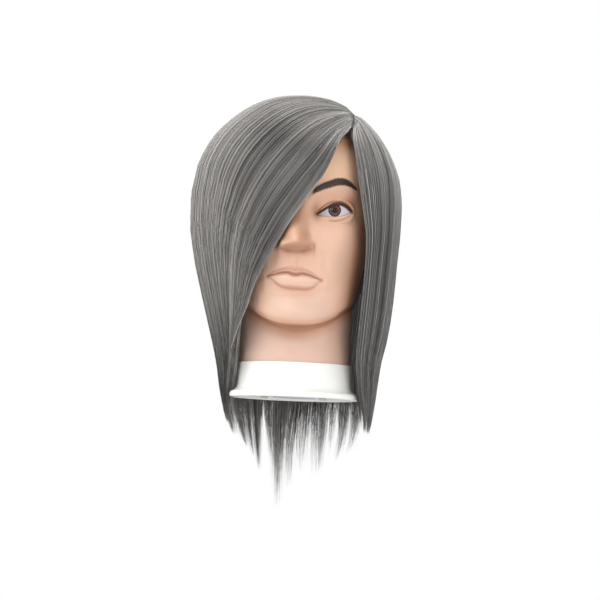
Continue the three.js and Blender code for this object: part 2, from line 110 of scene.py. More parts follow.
def curve_at(points, x):
    """Smooth interpolation of a table of (x, value) that never overshoots it."""
    table = np.asarray(points, float)
    places, values = table[:, 0], table[:, 1]
    gap = np.diff(places)
    slope = np.diff(values) / gap
    left, right = slope[:-1], slope[1:]
    tangent = np.zeros(len(table))
    tangent[1:-1] = np.where(left * right > 0, 2 * left * right / (left + right + 1e-12), 0)
    tangent[0], tangent[-1] = slope[0], slope[-1]
    x = np.clip(np.asarray(x, float), places[0], places[-1])
    k = np.clip(np.searchsorted(places, x, side="right") - 1, 0, len(gap) - 1)
    t = (x - places[k]) / gap[k]
    return (
        (2 * t**3 - 3 * t**2 + 1) * values[k]
        + (t**3 - 2 * t**2 + t) * gap[k] * tangent[k]
        + (-2 * t**3 + 3 * t**2) * values[k + 1]
        + (t**3 - t**2) * gap[k] * tangent[k + 1]
    )


# ------------------------------------------------------------------ mesh building
def shade_smooth(mesh):
    mesh.polygons.foreach_set("use_smooth", np.ones(len(mesh.polygons), dtype=bool))


def make_mesh(name, points, quads=(), tris=(), uv=None, attrs=None, colour=None):
    """A mesh object from points in mm. uv, attrs and colour hold one value per vertex."""
    verts = to_row(points).astype(np.float32)
    quads = np.asarray(quads, np.int32).reshape(-1, 4)
    tris = np.asarray(tris, np.int32).reshape(-1, 3)
    loops = np.concatenate([quads.ravel(), tris.ravel()]).astype(np.int32)
    starts = np.concatenate([np.arange(len(quads)) * 4, len(quads) * 4 + np.arange(len(tris)) * 3])
    mesh = bpy.data.meshes.new(name)
    mesh.vertices.add(len(verts))
    mesh.vertices.foreach_set("co", verts.ravel())
    mesh.loops.add(len(loops))
    mesh.loops.foreach_set("vertex_index", loops)
    mesh.polygons.add(len(starts))
    mesh.polygons.foreach_set("loop_start", starts.astype(np.int32))
    mesh.update(calc_edges=True)
    shade_smooth(mesh)
    if uv is not None:
        layer = mesh.uv_layers.new(name="flow")
        layer.data.foreach_set("uv", np.asarray(uv, np.float32)[loops].ravel())
    for key, value in (attrs or {}).items():
        attribute = mesh.attributes.new(key, "FLOAT", "POINT")
        attribute.data.foreach_set("value", np.asarray(value, np.float32).ravel())
    if colour is not None:
        attribute = mesh.attributes.new("paint", "FLOAT_COLOR", "POINT")
        rgba = np.ones((len(verts), 4), np.float32)
        rgba[:, :3] = colour
        attribute.data.foreach_set("color", rgba.ravel())
    piece = bpy.data.objects.new(name, mesh)
    bpy.context.scene.collection.objects.link(piece)
    return piece


def face_outward(piece, weld=True):
    """Makes the normals consistent, after merging coincident vertices if weld is set."""
    bm = bmesh.new()
    bm.from_mesh(piece.data)
    if weld:
        bmesh.ops.remove_doubles(bm, verts=bm.verts, dist=1e-6)
    bmesh.ops.recalc_face_normals(bm, faces=bm.faces)
    bm.to_mesh(piece.data)
    bm.free()
    shade_smooth(piece.data)


def grid_quads(rows, cols, wrap=True, start=0, flip=False):
    i, j = np.meshgrid(np.arange(rows - 1), np.arange(cols if wrap else cols - 1), indexing="ij")
    a = start + i * cols + j
    b = start + i * cols + (j + 1) % cols
    quads = np.stack([a, b, b + cols, a + cols], -1).reshape(-1, 4)
    return quads[:, ::-1] if flip else quads


def band(first, second, count):
    """Quads between two rings of vertices that start at the given numbers."""
    j = np.arange(count)
    k = np.roll(j, -1)
    return np.stack([first + j, first + k, second + k, second + j], -1)


def fan(first, count, centre, flip=False):
    """Triangles from a ring of vertices to a centre vertex."""
    j = np.arange(count)
    k = np.roll(j, -1)
    if flip:
        j, k = k, j
    return np.stack([first + j, first + k, np.full(count, centre)], -1)


def two_sheets(outer, inner, turn_rim=False):
    """Vertices and quads of two (rows, cols, 3) sheets joined along their last rings."""
    rows, cols = outer.shape[:2]
    count = rows * cols
    rim = band(count - cols, 2 * count - cols, cols)
    quads = [
        grid_quads(rows, cols), grid_quads(rows, cols, start=count, flip=True),
        rim[:, ::-1] if turn_rim else rim,
    ]
    return np.concatenate([outer.reshape(-1, 3), inner.reshape(-1, 3)]), np.concatenate(quads)


def polar(radii, segments):
    return np.meshgrid(radii, np.linspace(0, TAU, segments, endpoint=False), indexing="ij")


def round_corners(corners, steps=5):
    """Rounds a closed outline of (radius, z, rounding)."""
    corners = np.asarray(corners, float)
    points, roundings = corners[:, :2], corners[:, 2]
    outline = []
    for i, (point, rounding) in enumerate(zip(points, roundings)):
        if rounding <= 0:
            outline.append(point)
            continue
        back, ahead = points[i - 1] - point, points[(i + 1) % len(points)] - point
        back_length, ahead_length = np.linalg.norm(back), np.linalg.norm(ahead)
        cut = min(rounding, back_length * 0.45, ahead_length * 0.45)
        start, end = point + back / back_length * cut, point + ahead / ahead_length * cut
        for t in np.linspace(0, 1, steps):
            outline.append((1 - t) ** 2 * start + 2 * t * (1 - t) * point + t * t * end)
    return np.array(outline)


def lathe(name, corners, segments):
    """A closed turned shape about Z from an outline of (radius, z, rounding)."""
    outline = round_corners(corners)
    count = len(outline)
    turn = np.linspace(0, TAU, segments, endpoint=False)
    radius = outline[:, None, 0]
    height = np.repeat(outline[:, 1:2], segments, 1)
    points = np.stack([radius * np.cos(turn), radius * np.sin(turn), height], -1)
    i, j = np.meshgrid(np.arange(count), np.arange(segments), indexing="ij")
    i2, j2 = (i + 1) % count, (j + 1) % segments
    quads = [i * segments + j, i2 * segments + j, i2 * segments + j2, i * segments + j2]
    piece = make_mesh(name, points.reshape(-1, 3), np.stack(quads, -1).reshape(-1, 4))
    face_outward(piece)
    return piece


def mount(piece, material, slot, *replaced):
    """Finishes a piece that moves rigidly with the head."""
    piece.data.materials.append(material)
    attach(piece, "head")
    if replaced:
        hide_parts(*replaced)


# ------------------------------------------------------------------ shader helpers
def feed(tree, node, inputs):
    """Sets each input of a node to a value, or links it to a socket."""
    for key, value in inputs.items():
        if isinstance(value, bpy.types.NodeSocket):
            tree.links.new(value, node.inputs[key])
        else:
            node.inputs[key].default_value = value


def add(tree, kind, inputs=None, **settings):
    node = tree.nodes.new(kind)
    for key, value in settings.items():
        setattr(node, key, value)
    feed(tree, node, inputs or {})
    return node


def node_material(name):
    material = bpy.data.materials.new(name)
    material.use_nodes = True
    tree = material.node_tree
    return material, tree, tree.nodes["Principled BSDF"]


def object_coords(tree):
    return add(tree, "ShaderNodeTexCoord").outputs["Object"]


def attribute(tree, name, output="Fac"):
    return add(tree, "ShaderNodeAttribute", attribute_name=name).outputs[output]


def noise(tree, vector, scale, detail, roughness=0.5):
    inputs = {"Scale": scale, "Detail": detail, "Roughness": roughness, "Vector": vector}
    return add(tree, "ShaderNodeTexNoise", inputs).outputs["Fac"]


def stretch(tree, vector, scale):
    return add(tree, "ShaderNodeMapping", {"Scale": scale, "Vector": vector}).outputs["Vector"]


def remap(tree, value, low, high):
    inputs = {"To Min": low, "To Max": high, "Value": value}
    return add(tree, "ShaderNodeMapRange", inputs).outputs["Result"]


def multiply(tree, colour, factor):
    inputs = {"Factor": 1.0, "A": colour, "B": factor}
    mix = add(tree, "ShaderNodeMix", inputs, data_type="RGBA", blend_type="MULTIPLY")
    return mix.outputs["Result"]


def ramp(tree, value, stops):
    node = add(tree, "ShaderNodeValToRGB", {"Fac": value})
    elements = node.color_ramp.elements
    while len(elements) < len(stops):
        elements.new(0.5)
    for element, (position, colour) in zip(elements, stops):
        element.position = position
        element.color = (*colour, 1)
    return node.outputs["Color"]


def bump(tree, bsdf, height, strength, distance):
    inputs = {"Strength": strength, "Distance": distance, "Height": height}
    feed(tree, bsdf, {"Normal": add(tree, "ShaderNodeBump", inputs).outputs["Normal"]})


def mix_to_output(tree, factor, first, second):
    mix = add(tree, "ShaderNodeMixShader", {"Fac": factor, 1: first, 2: second})
    feed(tree, tree.nodes["Material Output"], {"Surface": mix.outputs["Shader"]})


# ------------------------------------------------------------------ materials
def plastic(name, colour, rough, grain, depth, mottle=0.03, metallic=0.0):
    """A mottled solid. grain and depth are the scale and strength of its fine bumps."""
    material, tree, bsdf = node_material(name)
    coords = object_coords(tree)
    low = tuple(c * (1 - mottle) for c in colour)
    high = tuple(min(1, c * (1 + mottle)) for c in colour)
    mottled = ramp(tree, noise(tree, coords, scale=40, detail=3), [(0.3, low), (0.7, high)])
    # the mean roughness stays as the socket's own value beneath its link
    feed(tree, bsdf, {"Base Color": mottled, "Roughness": rough, "Metallic": metallic})
    fine = noise(tree, coords, scale=grain, detail=4, roughness=0.6)
    roughness = remap(tree, fine, low=max(0.02, rough - 0.05), high=rough + 0.07)
    feed(tree, bsdf, {"Roughness": roughness})
    bump(tree, bsdf, fine, strength=depth, distance=0.0003)
    return material


def skin_material():
    material, tree, bsdf = node_material("vinyl_skin")
    paint = attribute(tree, "paint", "Color")
    coords = object_coords(tree)
    mottle = noise(tree, coords, scale=60, detail=4, roughness=0.55)
    colour = multiply(tree, paint, remap(tree, mottle, low=0.965, high=1.035))
    fine = noise(tree, coords, scale=900, detail=3, roughness=0.6)
    feed(tree, bsdf, {
        "Base Color": colour,
        "Roughness": remap(tree, fine, low=0.36, high=0.5),
        "Subsurface Weight": 0.12,
        "Subsurface Radius": (1.0, 0.45, 0.25),
        "Subsurface Scale": 0.004,
        "Specular IOR Level": 0.42,
    })
    bump(tree, bsdf, fine, strength=0.05, distance=0.0002)
    return material


def hair_material(name, gain=1.0, glow=0.0):
    """Grey strands. glow stands in for light scattered between strands inside the mass."""
    material, tree, bsdf = node_material(name)
    tone = attribute(tree, "tone")
    vector = stretch(tree, object_coords(tree), (1, 1, 0.12))
    fine = remap(tree, noise(tree, vector, scale=900, detail=3, roughness=0.6), low=-0.08, high=0.08)
    total = add(tree, "ShaderNodeMath", {0: tone, 1: fine}, operation="ADD").outputs[0]
    greys = [
        (0.0, (0.022, 0.021, 0.021)), (0.35, (0.095, 0.090, 0.086)),
        (0.65, (0.20, 0.190, 0.180)), (1.0, (0.46, 0.445, 0.43)),
    ]
    colour = ramp(tree, total, [(at, tuple(c * gain for c in grey)) for at, grey in greys])
    feed(tree, bsdf, {
        "Base Color": colour, "Roughness": 0.36, "Specular IOR Level": 0.7,
        "Emission Color": colour, "Emission Strength": glow,
    })
    return material


def mass_material():
    """Dense hair under the loose strands: dark grey with fine streaks along the flow, partly painted shade
    of the hair deep inside, with a faint glow that is painted light scattered inside the hair.
    """
    material, tree, bsdf = node_material("hair_mass")
    flow = add(tree, "ShaderNodeUVMap", uv_map="flow").outputs["UV"]
    streaks = noise(tree, stretch(tree, flow, (26, 1.1, 1)), scale=9, detail=5, roughness=0.7)
    colour = ramp(tree, streaks, [
        (0.3, (0.022, 0.022, 0.023)), (0.55, (0.085, 0.081, 0.08)), (0.75, (0.17, 0.163, 0.158)),
    ])
    feed(tree, bsdf, {
        "Base Color": colour, "Emission Color": colour, "Emission Strength": 0.2, "Roughness": 0.5,
    })
    bump(tree, bsdf, streaks, strength=0.5, distance=0.0008)
    return material


def iris_material():
    material, tree, bsdf = node_material("eye_iris")
    radial = attribute(tree, "radial")
    streak = attribute(tree, "streak")
    rings = ramp(tree, radial, [  # black pupil, red-brown iris, dark rim
        (0.0, (0.002, 0.002, 0.002)), (0.40, (0.003, 0.002, 0.002)), (0.48, (0.13, 0.034, 0.030)),
        (0.72, (0.22, 0.072, 0.062)), (0.88, (0.13, 0.046, 0.042)), (1.0, (0.02, 0.010, 0.010)),
    ])
    colour = multiply(tree, rings, remap(tree, streak, low=0.6, high=1.35))
    feed(tree, bsdf, {"Base Color": colour, "Roughness": 0.5, "Specular IOR Level": 0.04})
    return material


def cornea_material():
    """Clear, with a sharp reflection that grows towards grazing angles."""
    material, tree, bsdf = node_material("eye_cornea")
    tree.nodes.remove(bsdf)
    clear = add(tree, "ShaderNodeBsdfTransparent").outputs["BSDF"]
    fresnel = add(tree, "ShaderNodeFresnel", {"IOR": 1.38}).outputs["Fac"]
    glossy = add(tree, "ShaderNodeBsdfGlossy", {"Roughness": 0.03}).outputs["BSDF"]
    mix_to_output(tree, fresnel, clear, glossy)
    return material


def floor_material():
    """Pale grey to the light, plain white to the camera."""
    material, tree, bsdf = node_material("floor_pale")
    cloud = noise(tree, object_coords(tree), scale=3, detail=2)
    colour = ramp(tree, cloud, [(0.3, (0.52, 0.52, 0.52)), (0.7, (0.55, 0.55, 0.55))])
    feed(tree, bsdf, {"Base Color": colour, "Roughness": 0.9, "Specular IOR Level": 0.1})
    white_inputs = {"Color": (1, 1, 1, 1), "Strength": 1.0}
    emission = add(tree, "ShaderNodeEmission", white_inputs).outputs["Emission"]
    camera_ray = add(tree, "ShaderNodeLightPath").outputs["Is Camera Ray"]
    share = add(tree, "ShaderNodeMath", {0: camera_ray, 1: 1.0}, operation="MULTIPLY").outputs[0]
    mix_to_output(tree, share, bsdf.outputs["BSDF"], emission)
    return material


# ------------------------------------------------------------------ the vinyl head
# Stations from neck to crown: front z, front y, side z, half width, y of the widest point,
# back z, back y, and the outline's exponents in front and behind.
HEAD = [
    [8, -53.1, 8, 53.1, 0, 8, 53.1, 2, 2],
    [36, -53.1, 36, 53.1, 0, 36, 53.1, 2, 2],
    [50, -52.6, 54, 53.0, 0, 56, 53.4, 2, 2],
    [62, -52.4, 78, 53.2, 0, 80, 56.5, 2, 2],
    [67.2, -55.5, 90, 53.2, 1, 88, 59.5, 2, 2],
    [66.2, -69, 92, 53.4, 2, 94, 62.5, 2.05, 2],
    [65.2, -80.5, 94, 54.2, 3, 100, 66, 2.1, 2],
    [70, -86.6, 100, 55.8, 4, 108, 71, 2.15, 2],
    [80, -88, 108.5, 58.0, 5, 117, 77, 2.15, 2],
    [96, -87, 121.5, 61.4, 6, 129, 85.5, 2.15, 2],
    [115, -87.5, 134, 65.0, 7, 142, 92.5, 2.15, 2.05],
    [139, -88, 150, 69.0, 8, 157, 98, 2.2, 2.1],
    [165, -88, 170, 72.4, 10, 174, 101, 2.25, 2.1],
    [188, -88, 190, 74.6, 12, 192, 101.5, 2.3, 2.1],
    [205, -89.5, 206, 75, 12, 207, 100, 2.3, 2.1],
    [223, -87.5, 223, 73.5, 12, 223, 95.5, 2.25, 2.1],
    [239, -80, 239, 68.5, 11, 239, 86.5, 2.15, 2.05],
    [253, -66.5, 253, 59, 9, 253, 73, 2.05, 2],
    [263.5, -47.5, 263.5, 46, 7, 263.5, 56, 2, 2],
    [270, -26, 270, 30, 5, 270, 36, 2, 2],
    [273, -8, 273, 12, 4.5, 273, 17, 2, 2],
]
FOREHEAD = 14  # first station of the forehead
HEAD_TOP = len(HEAD) - 1
HEAD_RINGS, HEAD_SPOKES = 316, 304

EYE_X, EYE_Y, EYE_Z = 31.0, -67.6, 174.8  # centre of the left eyeball
EYE_R = (18.2, 13.0, 13.6)
IRIS_X, IRIS_Z, IRIS_R = 31.2, 175.5, 5.9

# z, how far the nose stands out; z, its half width
NOSE = [
    [128, 0], [131.5, 0.4], [133.5, 4], [135.5, 13], [138, 20], [141.5, 23.4], [145, 22],
    [150, 18.4], [158.5, 12.6], [168.5, 6.6], [179, 2.6], [189, 0.4], [196, 0],
]
NOSE_WIDTH = [
    [128, 9.5], [138, 9.0], [142, 8.6], [150, 8.0], [160, 8.0], [172, 8.6], [185, 11], [196, 14],
]
# distance from the midline, z
EYE_UP = [
    [15.0, 171.3], [19.7, 174.0], [25.4, 177.4], [30.6, 179.9], [35.8, 180.6], [40.8, 178.8],
    [44.6, 176.0], [46.9, 174.0],
]
EYE_LO = [
    [15.0, 171.2], [17.4, 169.9], [23.6, 169.2], [30.6, 168.9], [36.3, 169.7], [42.7, 171.9],
    [45.4, 173.2], [46.9, 173.9],
]
LIP_UP = [[0, 118.2], [4.3, 119.6], [9, 119.1], [14, 117.8], [19, 116.0], [24, 113.6], [27.3, 111.3]]
LIP_MID = [[0, 113.3], [3, 113.5], [7.5, 114.9], [12, 114.6], [17, 113.6], [22, 112.2], [27.3, 110.9]]
LIP_LO = [[0, 102.0], [8, 102.0], [14, 102.6], [19, 104.6], [23.5, 107.6], [27.3, 110.6]]
BROW = [
    [9.5, 189.8], [13, 192.6], [19, 196.1], [26, 199.0], [33, 201.6], [39, 202.2], [44, 201.0],
    [48, 198.8], [52, 196.0],
]
LID_FOLD = [
    [12.5, 171.0], [16, 174.9], [21, 179.2], [26, 182.3], [31, 184.0], [37, 184.3], [42, 182.4],
    [46, 178.7], [49.5, 174.0],
]
BAG = [[17, 167.6], [24, 166.0], [31, 165.4], [36, 166.2], [42, 168.6], [47, 172.2]]
# distance from the midline, thickness of the lash line; half height of the brow
LASH = [[13, 1.8], [20, 2.6], [30, 3.5], [40, 4.3], [45, 4.9], [48, 3.6], [51, 1.4]]
BROW_HALF = [[8, 1.4], [12, 2.8], [20, 3.6], [30, 3.9], [40, 3.6], [47, 2.6], [52, 0.9]]
# z, how far the midline of the nose and mouth lies to the head's right
MIDLINE = [[80, 0.5], [98, 2.4], [112, 3.2], [124, 3.4], [140, 3.2], [150, 4.0], [162, 3.9], [184, 0.4]]
LIP_TURN = 0.05  # slope of the slightly askew mouth
LIP_SCALE = 1.12  # squeezes the lip tables towards the midline


def eye_distance(away, z):
    """Signed distance-like value: positive inside the eye opening."""
    inside = np.minimum(curve_at(EYE_UP, away) - z, z - curve_at(EYE_LO, away)) * 0.9
    inside = np.where(away < 15.0, -(15.0 - away) - np.abs(z - 171.2) * 0.6, inside)
    return np.where(away > 46.9, -(away - 46.9) - np.abs(z - 174) * 0.6, inside)


def eyeball(away, z, grow=(0, 0, 0), least=0.0):
    """How far inside the eyeball's outline a point lies (1 at its centre), and its front y."""
    inside = 1 - ((away - EYE_X) / (EYE_R[0] + grow[0])) ** 2 - ((z - EYE_Z) / (EYE_R[2] + grow[2])) ** 2
    return inside, EYE_Y - (EYE_R[1] + grow[1]) * np.sqrt(np.clip(inside, least, 1))


def lip_lines(mid_x, z):
    """Heights and distances in the mouth's own frame, then its upper, middle and lower lines."""
    out = np.abs(mid_x) * LIP_SCALE
    lines = [curve_at(line, out) for line in (LIP_UP, LIP_MID, LIP_LO)]
    return z + LIP_TURN * mid_x, out, *lines


def relief(x, z):
    """Forward relief of the face. Each term is a height in mm times where it acts."""
    depth = np.zeros_like(x)
    away = np.abs(x)
    mid_x = x + curve_at(MIDLINE, z)
    mid_away = np.abs(mid_x)
    # nose: ridge, tip, wings, nostril undersides, a little fuller on the head's right
    out = np.where(mid_x < 0, mid_away * 0.9, mid_away)
    width = curve_at(NOSE_WIDTH, z)
    ridge = 0.60 * np.exp(-((out / (width * 1.25)) ** 2.7)) + 0.40 * bell(out, 0, width * 1.9)
    depth += curve_at(NOSE, z) * ridge
    depth += 2.0 * bell(out, 0, 7.0) * bell(z, 142.0, 5.2)
    depth += 7.6 * bell(out, 11.4, 3.9) * bell(z, 139.6, 4.7)
    wing = bell(np.hypot(out - 6.0, (z - 146) * 0.8), 9.2, 1.6)
    depth -= 1.5 * wing * rise(8, 12, out) * rise(136, 141, z)
    depth -= 1.1 * bell(out, 16.6, 1.6) * bell(z, 138.5, 5.0)
    depth -= 1.5 * bell(out, 7.0, 2.8) * bell(z, 134.6, 1.6)
    depth += 3.2 * bell(mid_x, 0, 15.0) * bell(z, 149, 17)
    depth -= 1.6 * bell(out, 10.5, 4.5) * bell(z, 166, 9)
    # groove between nose and lip
    groove = 0.55 * bell(mid_away, 3.9, 1.5) - 0.7 * bell(mid_away, 0, 2.0)
    depth += rise(117.5, 121, z) * fall(128, 132, z) * groove
    # muzzle and lips
    depth += 2.8 * bell(mid_x, 0, 27) * bell(z, 112, 17)
    lip_z, out, top, middle, bottom = lip_lines(mid_x, z)
    wide = np.clip(1 - (out / 28.0) ** 2, 0, 1)
    up = (lip_z - middle) / np.maximum(top - middle, 0.3)
    down = (middle - lip_z) / np.maximum(middle - bottom, 0.3)
    upper = rise(-0.05, 0.45, up) * (1 - 0.62 * rise(0.35, 1.0, up)) * fall(0.95, 1.30, up)
    lower = rise(-0.05, 0.32, down) * (1 - 0.20 * rise(0.5, 0.95, down)) * fall(0.88, 1.16, down)
    depth += 5.2 * wide**0.55 * upper * (1 + 0.14 * bell(mid_away, 0, 3.5))
    depth += 5.9 * wide**0.5 * lower * (1 - 0.07 * bell(mid_away, 0, 4))
    depth += 0.2 * bell(lip_z, top + 0.4, 0.8) * rise(0, 0.1, wide)
    depth -= 0.9 * bell(lip_z, middle, 0.9) * rise(0, 0.12, wide)
    depth -= 1.6 * bell(out, 28.6, 2.4) * bell(lip_z, 110.6, 2.2)
    depth += 1.1 * bell(out, 31.6, 3.4) * bell(lip_z, 107.5, 3.4)
    # fold under the lip, chin
    depth -= 3.4 * bell(mid_x, 0, 20) * bell(z, 97.3, 3.7)
    depth += 4.2 * bell(mid_x, 0, 21) * bell(z, 79, 10.5)
    # sockets
    depth -= 9.6 * bell(away, 31.0, 17.5) * bell(z, 174.5, 11.5)
    depth -= 3.6 * bell(away, 15.5, 5.5) * bell(z, 174.5, 8.0)
    depth -= 4.2 * bell(away, 15.2, 3.8) * bell(z, 171.6, 4.6)
    # brow ridge
    brow = curve_at(BROW, away)
    depth += 2.9 * bell(z, brow - 2.0, 6.0) * rise(4, 14, away) * fall(46, 60, away)
    # cheekbones, and the hollows below them
    depth += 3.3 * bell(away, 46, 14) * bell(z, 153, 13)
    depth -= 1.7 * bell(away, 44, 12) * bell(z, 120, 14)
    depth -= 0.8 * bell(away, 24.5, 4.0) * bell(z, 127, 9)
    return depth


def add_face(x, y, z, front, facing):
    """y of the skin with the features of the face pressed into it."""
    y = y - relief(x, z) * np.where(front, rise(0.12, 0.5, facing) * rise(61, 68, z), 0)
    away = np.abs(x)
    # lids drape over the eyeball
    inside, ball = eyeball(away, z, grow=(1.6, 1.7, 1.6))
    blend = 1.6
    share = np.clip(0.5 + 0.5 * (y - ball) / blend, 0, 1)
    lid = (y * (1 - share) + ball * share) - blend * share * (1 - share)
    y = np.where(front & (inside > 0.02), lid, y)
    fold = bell(z, curve_at(LID_FOLD, away), 0.85) * rise(12, 17, away) * fall(47, 51, away)
    y = np.where(front, y + 1.15 * fold, y)
    bag = bell(z, curve_at(BAG, away), 0.9) * rise(17, 24, away) * fall(44, 50, away)
    y = np.where(front, y + 0.5 * bag, y)
    opening = eye_distance(away, z)
    y = np.where(front, y - 0.35 * bell(opening, -0.9, 0.9), y)
    # the opening sinks behind the eyeball
    behind = eyeball(away, z, least=0.03)[1] + 1.0
    floor = np.minimum(behind, y + 3.0) + 4.0 * rise(1.5, 4.0, opening)
    return np.where(front, y + rise(-0.15, 0.65, opening) * (floor - y), y)


def head_surface(station, turn, detail=True):
    """Points of the skin at fractional station numbers and angles about Z, 0 in front."""
    columns = np.moveaxis(rows_at(HEAD, station), -1, 0)
    front_z, front_y, side_z, half, mid_y, back_z, back_y, front_power, back_power = columns
    cos, sin = np.cos(turn), np.sin(turn)
    front = cos > 0
    power = np.where(front, front_power, back_power)
    x = half * np.sign(sin) * np.abs(sin) ** (2 / power)
    reach = np.abs(cos) ** (2 / power)
    y = np.where(front, mid_y - (mid_y - front_y) * reach, mid_y + (back_y - mid_y) * reach)
    z = side_z + (np.where(front, front_z, back_z) - side_z) * cos * cos
    if detail:
        y = add_face(x, y, z, front, cos)
    return np.stack([x, y, z + LEAN * np.minimum(y, 0)], -1)


def skin_colour_and_shade(points, down):
    """Linear RGB of each point of the skin: its own colour and paint, with painted light and shade laid
    over it. down is how far it faces the floor, and sets painted shade on undersides.
    """
    x, y = points[:, 0], points[:, 1]
    z = points[:, 2] - LEAN * np.minimum(y, 0)
    away = np.abs(x)
    mid_x = x + curve_at(MIDLINE, z)
    mid_away = np.abs(mid_x)
    front = (y < 10).astype(float)

    def linear(srgb):
        c = np.array(srgb) / 255.0
        return np.where(c <= 0.04045, c / 12.92, ((c + 0.055) / 1.055) ** 2.4)

    paint = np.tile(linear((221, 181, 158)), (len(points), 1))

    def lay(srgb, amount):
        """Covers the front with an sRGB colour by amount, 0 to 1."""
        nonlocal paint
        cover = np.clip(amount * front, 0, 1)[:, None]
        paint = paint * (1 - cover) + linear(srgb) * cover

    # forehead, sides, crown, the left and right of the face, chin, with painted light and shade among them
    # the forehead lighter: painted light where the hair shades it
    lay((236, 194, 160), 0.7 * rise(196, 212, z))
    # tan towards the sides of the face: partly the head's own airbrushed tan, partly painted shade from the
    # hair
    lay((212, 142, 88), 0.66 * rise(42, 63, away) * rise(70, 90, z) * (1 - 0.4 * rise(190, 215, z)))
    lay((206, 140, 90), 0.6 * rise(226, 244, z))
    # painted shade on the neck on the head's left, painted light on the neck on its right
    lay((192, 126, 78), 0.72 * rise(22, 50, x) * fall(64, 70, z))
    lay((240, 210, 194), 0.75 * rise(8, 34, -x) * fall(56, 62, z))
    lay((206, 180, 164), 0.6 * bell(z, 84, 13) * fall(20, 34, away))
    # painted shade on the cheek and jaw on the head's left
    lay((202, 136, 80), 0.55 * rise(34, 56, x) * bell(z, 100, 26))
    # neck, with the chin's shadow painted close under the jaw, and painted shade on undersides that face
    # the floor
    jaw = 65.5 + 0.0092 * x**2
    neck = y > -60
    under_jaw = (z < jaw + 2) * neck
    lay((218, 186, 170), 0.75 * fall(jaw - 14, jaw - 4, z) * neck)
    lay((196, 138, 104), 0.62 * rise(jaw - 15, jaw - 1, z) * under_jaw)
    lay((150, 96, 66), 0.6 * rise(jaw - 4.5, jaw - 1, z) * under_jaw)
    lay((206, 150, 116), 0.5 * rise(0.25, 0.6, down) * fall(jaw + 4, jaw + 9, z))
    lay((150, 94, 64), 0.9 * rise(0.66, 0.92, down) * fall(jaw + 4, jaw + 9, z))
    # sockets: painted shade, darkest at the inner corner
    lay((214, 158, 126), 0.45 * bell(away, 31, 20) * bell(z, 184, 8))
    lay((164, 104, 76), 0.6 * bell(away, 14.0, 4.5) * bell(z, 175, 7.5))
    lay((172, 112, 80), 0.5 * bell(away, 46, 6) * bell(z, 184, 7))
    # nose: painted shade on the flanks and top of the ridge, on the tip and its underside, along the foot
    # of the tip, in the wing creases and in the nostrils
    lay((204, 150, 118), 0.4 * bell(mid_away, 9.5, 4.0) * rise(146, 152, z) * fall(168, 178, z))
    lay((176, 132, 106), 0.8 * bell(z, 145.5, 9.0) * fall(9, 16, mid_away))
    lay((174, 128, 98), 0.72 * bell(mid_x - 1.5, 0, 6.5) * rise(146, 154, z) * fall(176, 190, z))
    lay((176, 124, 96), 0.72 * bell(z, 137.6, 3.4) * fall(11, 16.5, mid_away))
    lay((184, 130, 100), 0.5 * bell(z, 140.8, 3.6) * bell(x, 6, 6))
    nose_foot = 134.4 + 2.2 * (mid_away / 14) ** 2
    lay((140, 88, 62), 0.5 * bell(z, nose_foot, 1.0) * fall(13.5, 16, mid_away))
    lay((166, 106, 76), 0.62 * bell(mid_away, 16.8, 1.5) * bell(z, 139.5, 5.0))
    lay((130, 78, 54), 0.35 * bell(mid_away, 7.0, 2.4) * bell(z, 134.8, 1.3))
    # lips, and painted shade in their seam and corners and below them
    lip_z, out, top, middle, bottom = lip_lines(mid_x, z)
    lips = rise(-0.5, 0.7, lip_z - bottom) * rise(-0.5, 0.7, top - lip_z) * (out < 27.8)
    lay((220, 186, 168), 0.55 * lips)
    # the upper lip darker: partly its own colour, partly painted shade as it faces down
    lay((196, 152, 130), 0.6 * lips * rise(-0.2, 2.5, lip_z - middle))
    lay((168, 108, 88), 0.55 * bell(lip_z, middle - 0.2, 0.9) * rise(0, 3, 28.2 - out))
    lay((170, 110, 84), 0.55 * bell(out, 27.6, 2.4) * bell(lip_z, 110.6, 1.6))
    lay((190, 132, 102), 0.6 * bell(lip_z, bottom - 1.6, 1.3) * fall(18, 26, out))
    # lids: painted shade in the fold and along the bag, the lash line, painted shade in the inner corner,
    # the lower edge, painted shade inside the opening
    fold = bell(z, curve_at(LID_FOLD, away), 0.9)
    lay((120, 74, 54), 0.75 * fold * rise(12, 18, away) * fall(46, 50, away))
    bag = bell(z, curve_at(BAG, away), 0.9)
    lay((166, 110, 78), 0.6 * bag * rise(22, 30, away) * fall(44, 49, away))
    above = z - curve_at(EYE_UP, away)
    within = rise(13.0, 15.5, away) * fall(47.2, 49.5, away)
    thick = curve_at(LASH, away)
    lay((36, 22, 20), 0.97 * rise(-1.4, -0.6, above) * fall(thick * 0.6, thick, above) * within)
    lay((80, 44, 36), 0.85 * bell(away, 15.2, 1.8) * bell(z, 171.4, 1.6))
    below = curve_at(EYE_LO, away) - z
    lower_edge = rise(-1.3, -0.5, below) * fall(0.1, 0.55, below) * within
    lay((150, 104, 84), 0.55 * lower_edge)
    lay((110, 74, 62), 0.6 * lower_edge * rise(36, 44, away))
    # painted shade inside the opening, where the skin sinks behind the eyeball
    lay((84, 44, 36), 0.9 * rise(0.6, 1.4, eye_distance(away, z)))
    # brows, with short strokes along their edges
    stroke = 0.35 * np.sin(away * 5.3 + z * 1.9) + 0.25 * np.sin(away * 9.1 - z * 2.7)
    inside = (curve_at(BROW_HALF, away) - np.abs(z - curve_at(BROW, away)) + stroke * 0.5) / 1.2
    lay((42, 31, 27), 0.96 * rise(-0.5, 0.85, inside) * rise(8.5, 12, away) * fall(50.5, 53, away))
    return paint


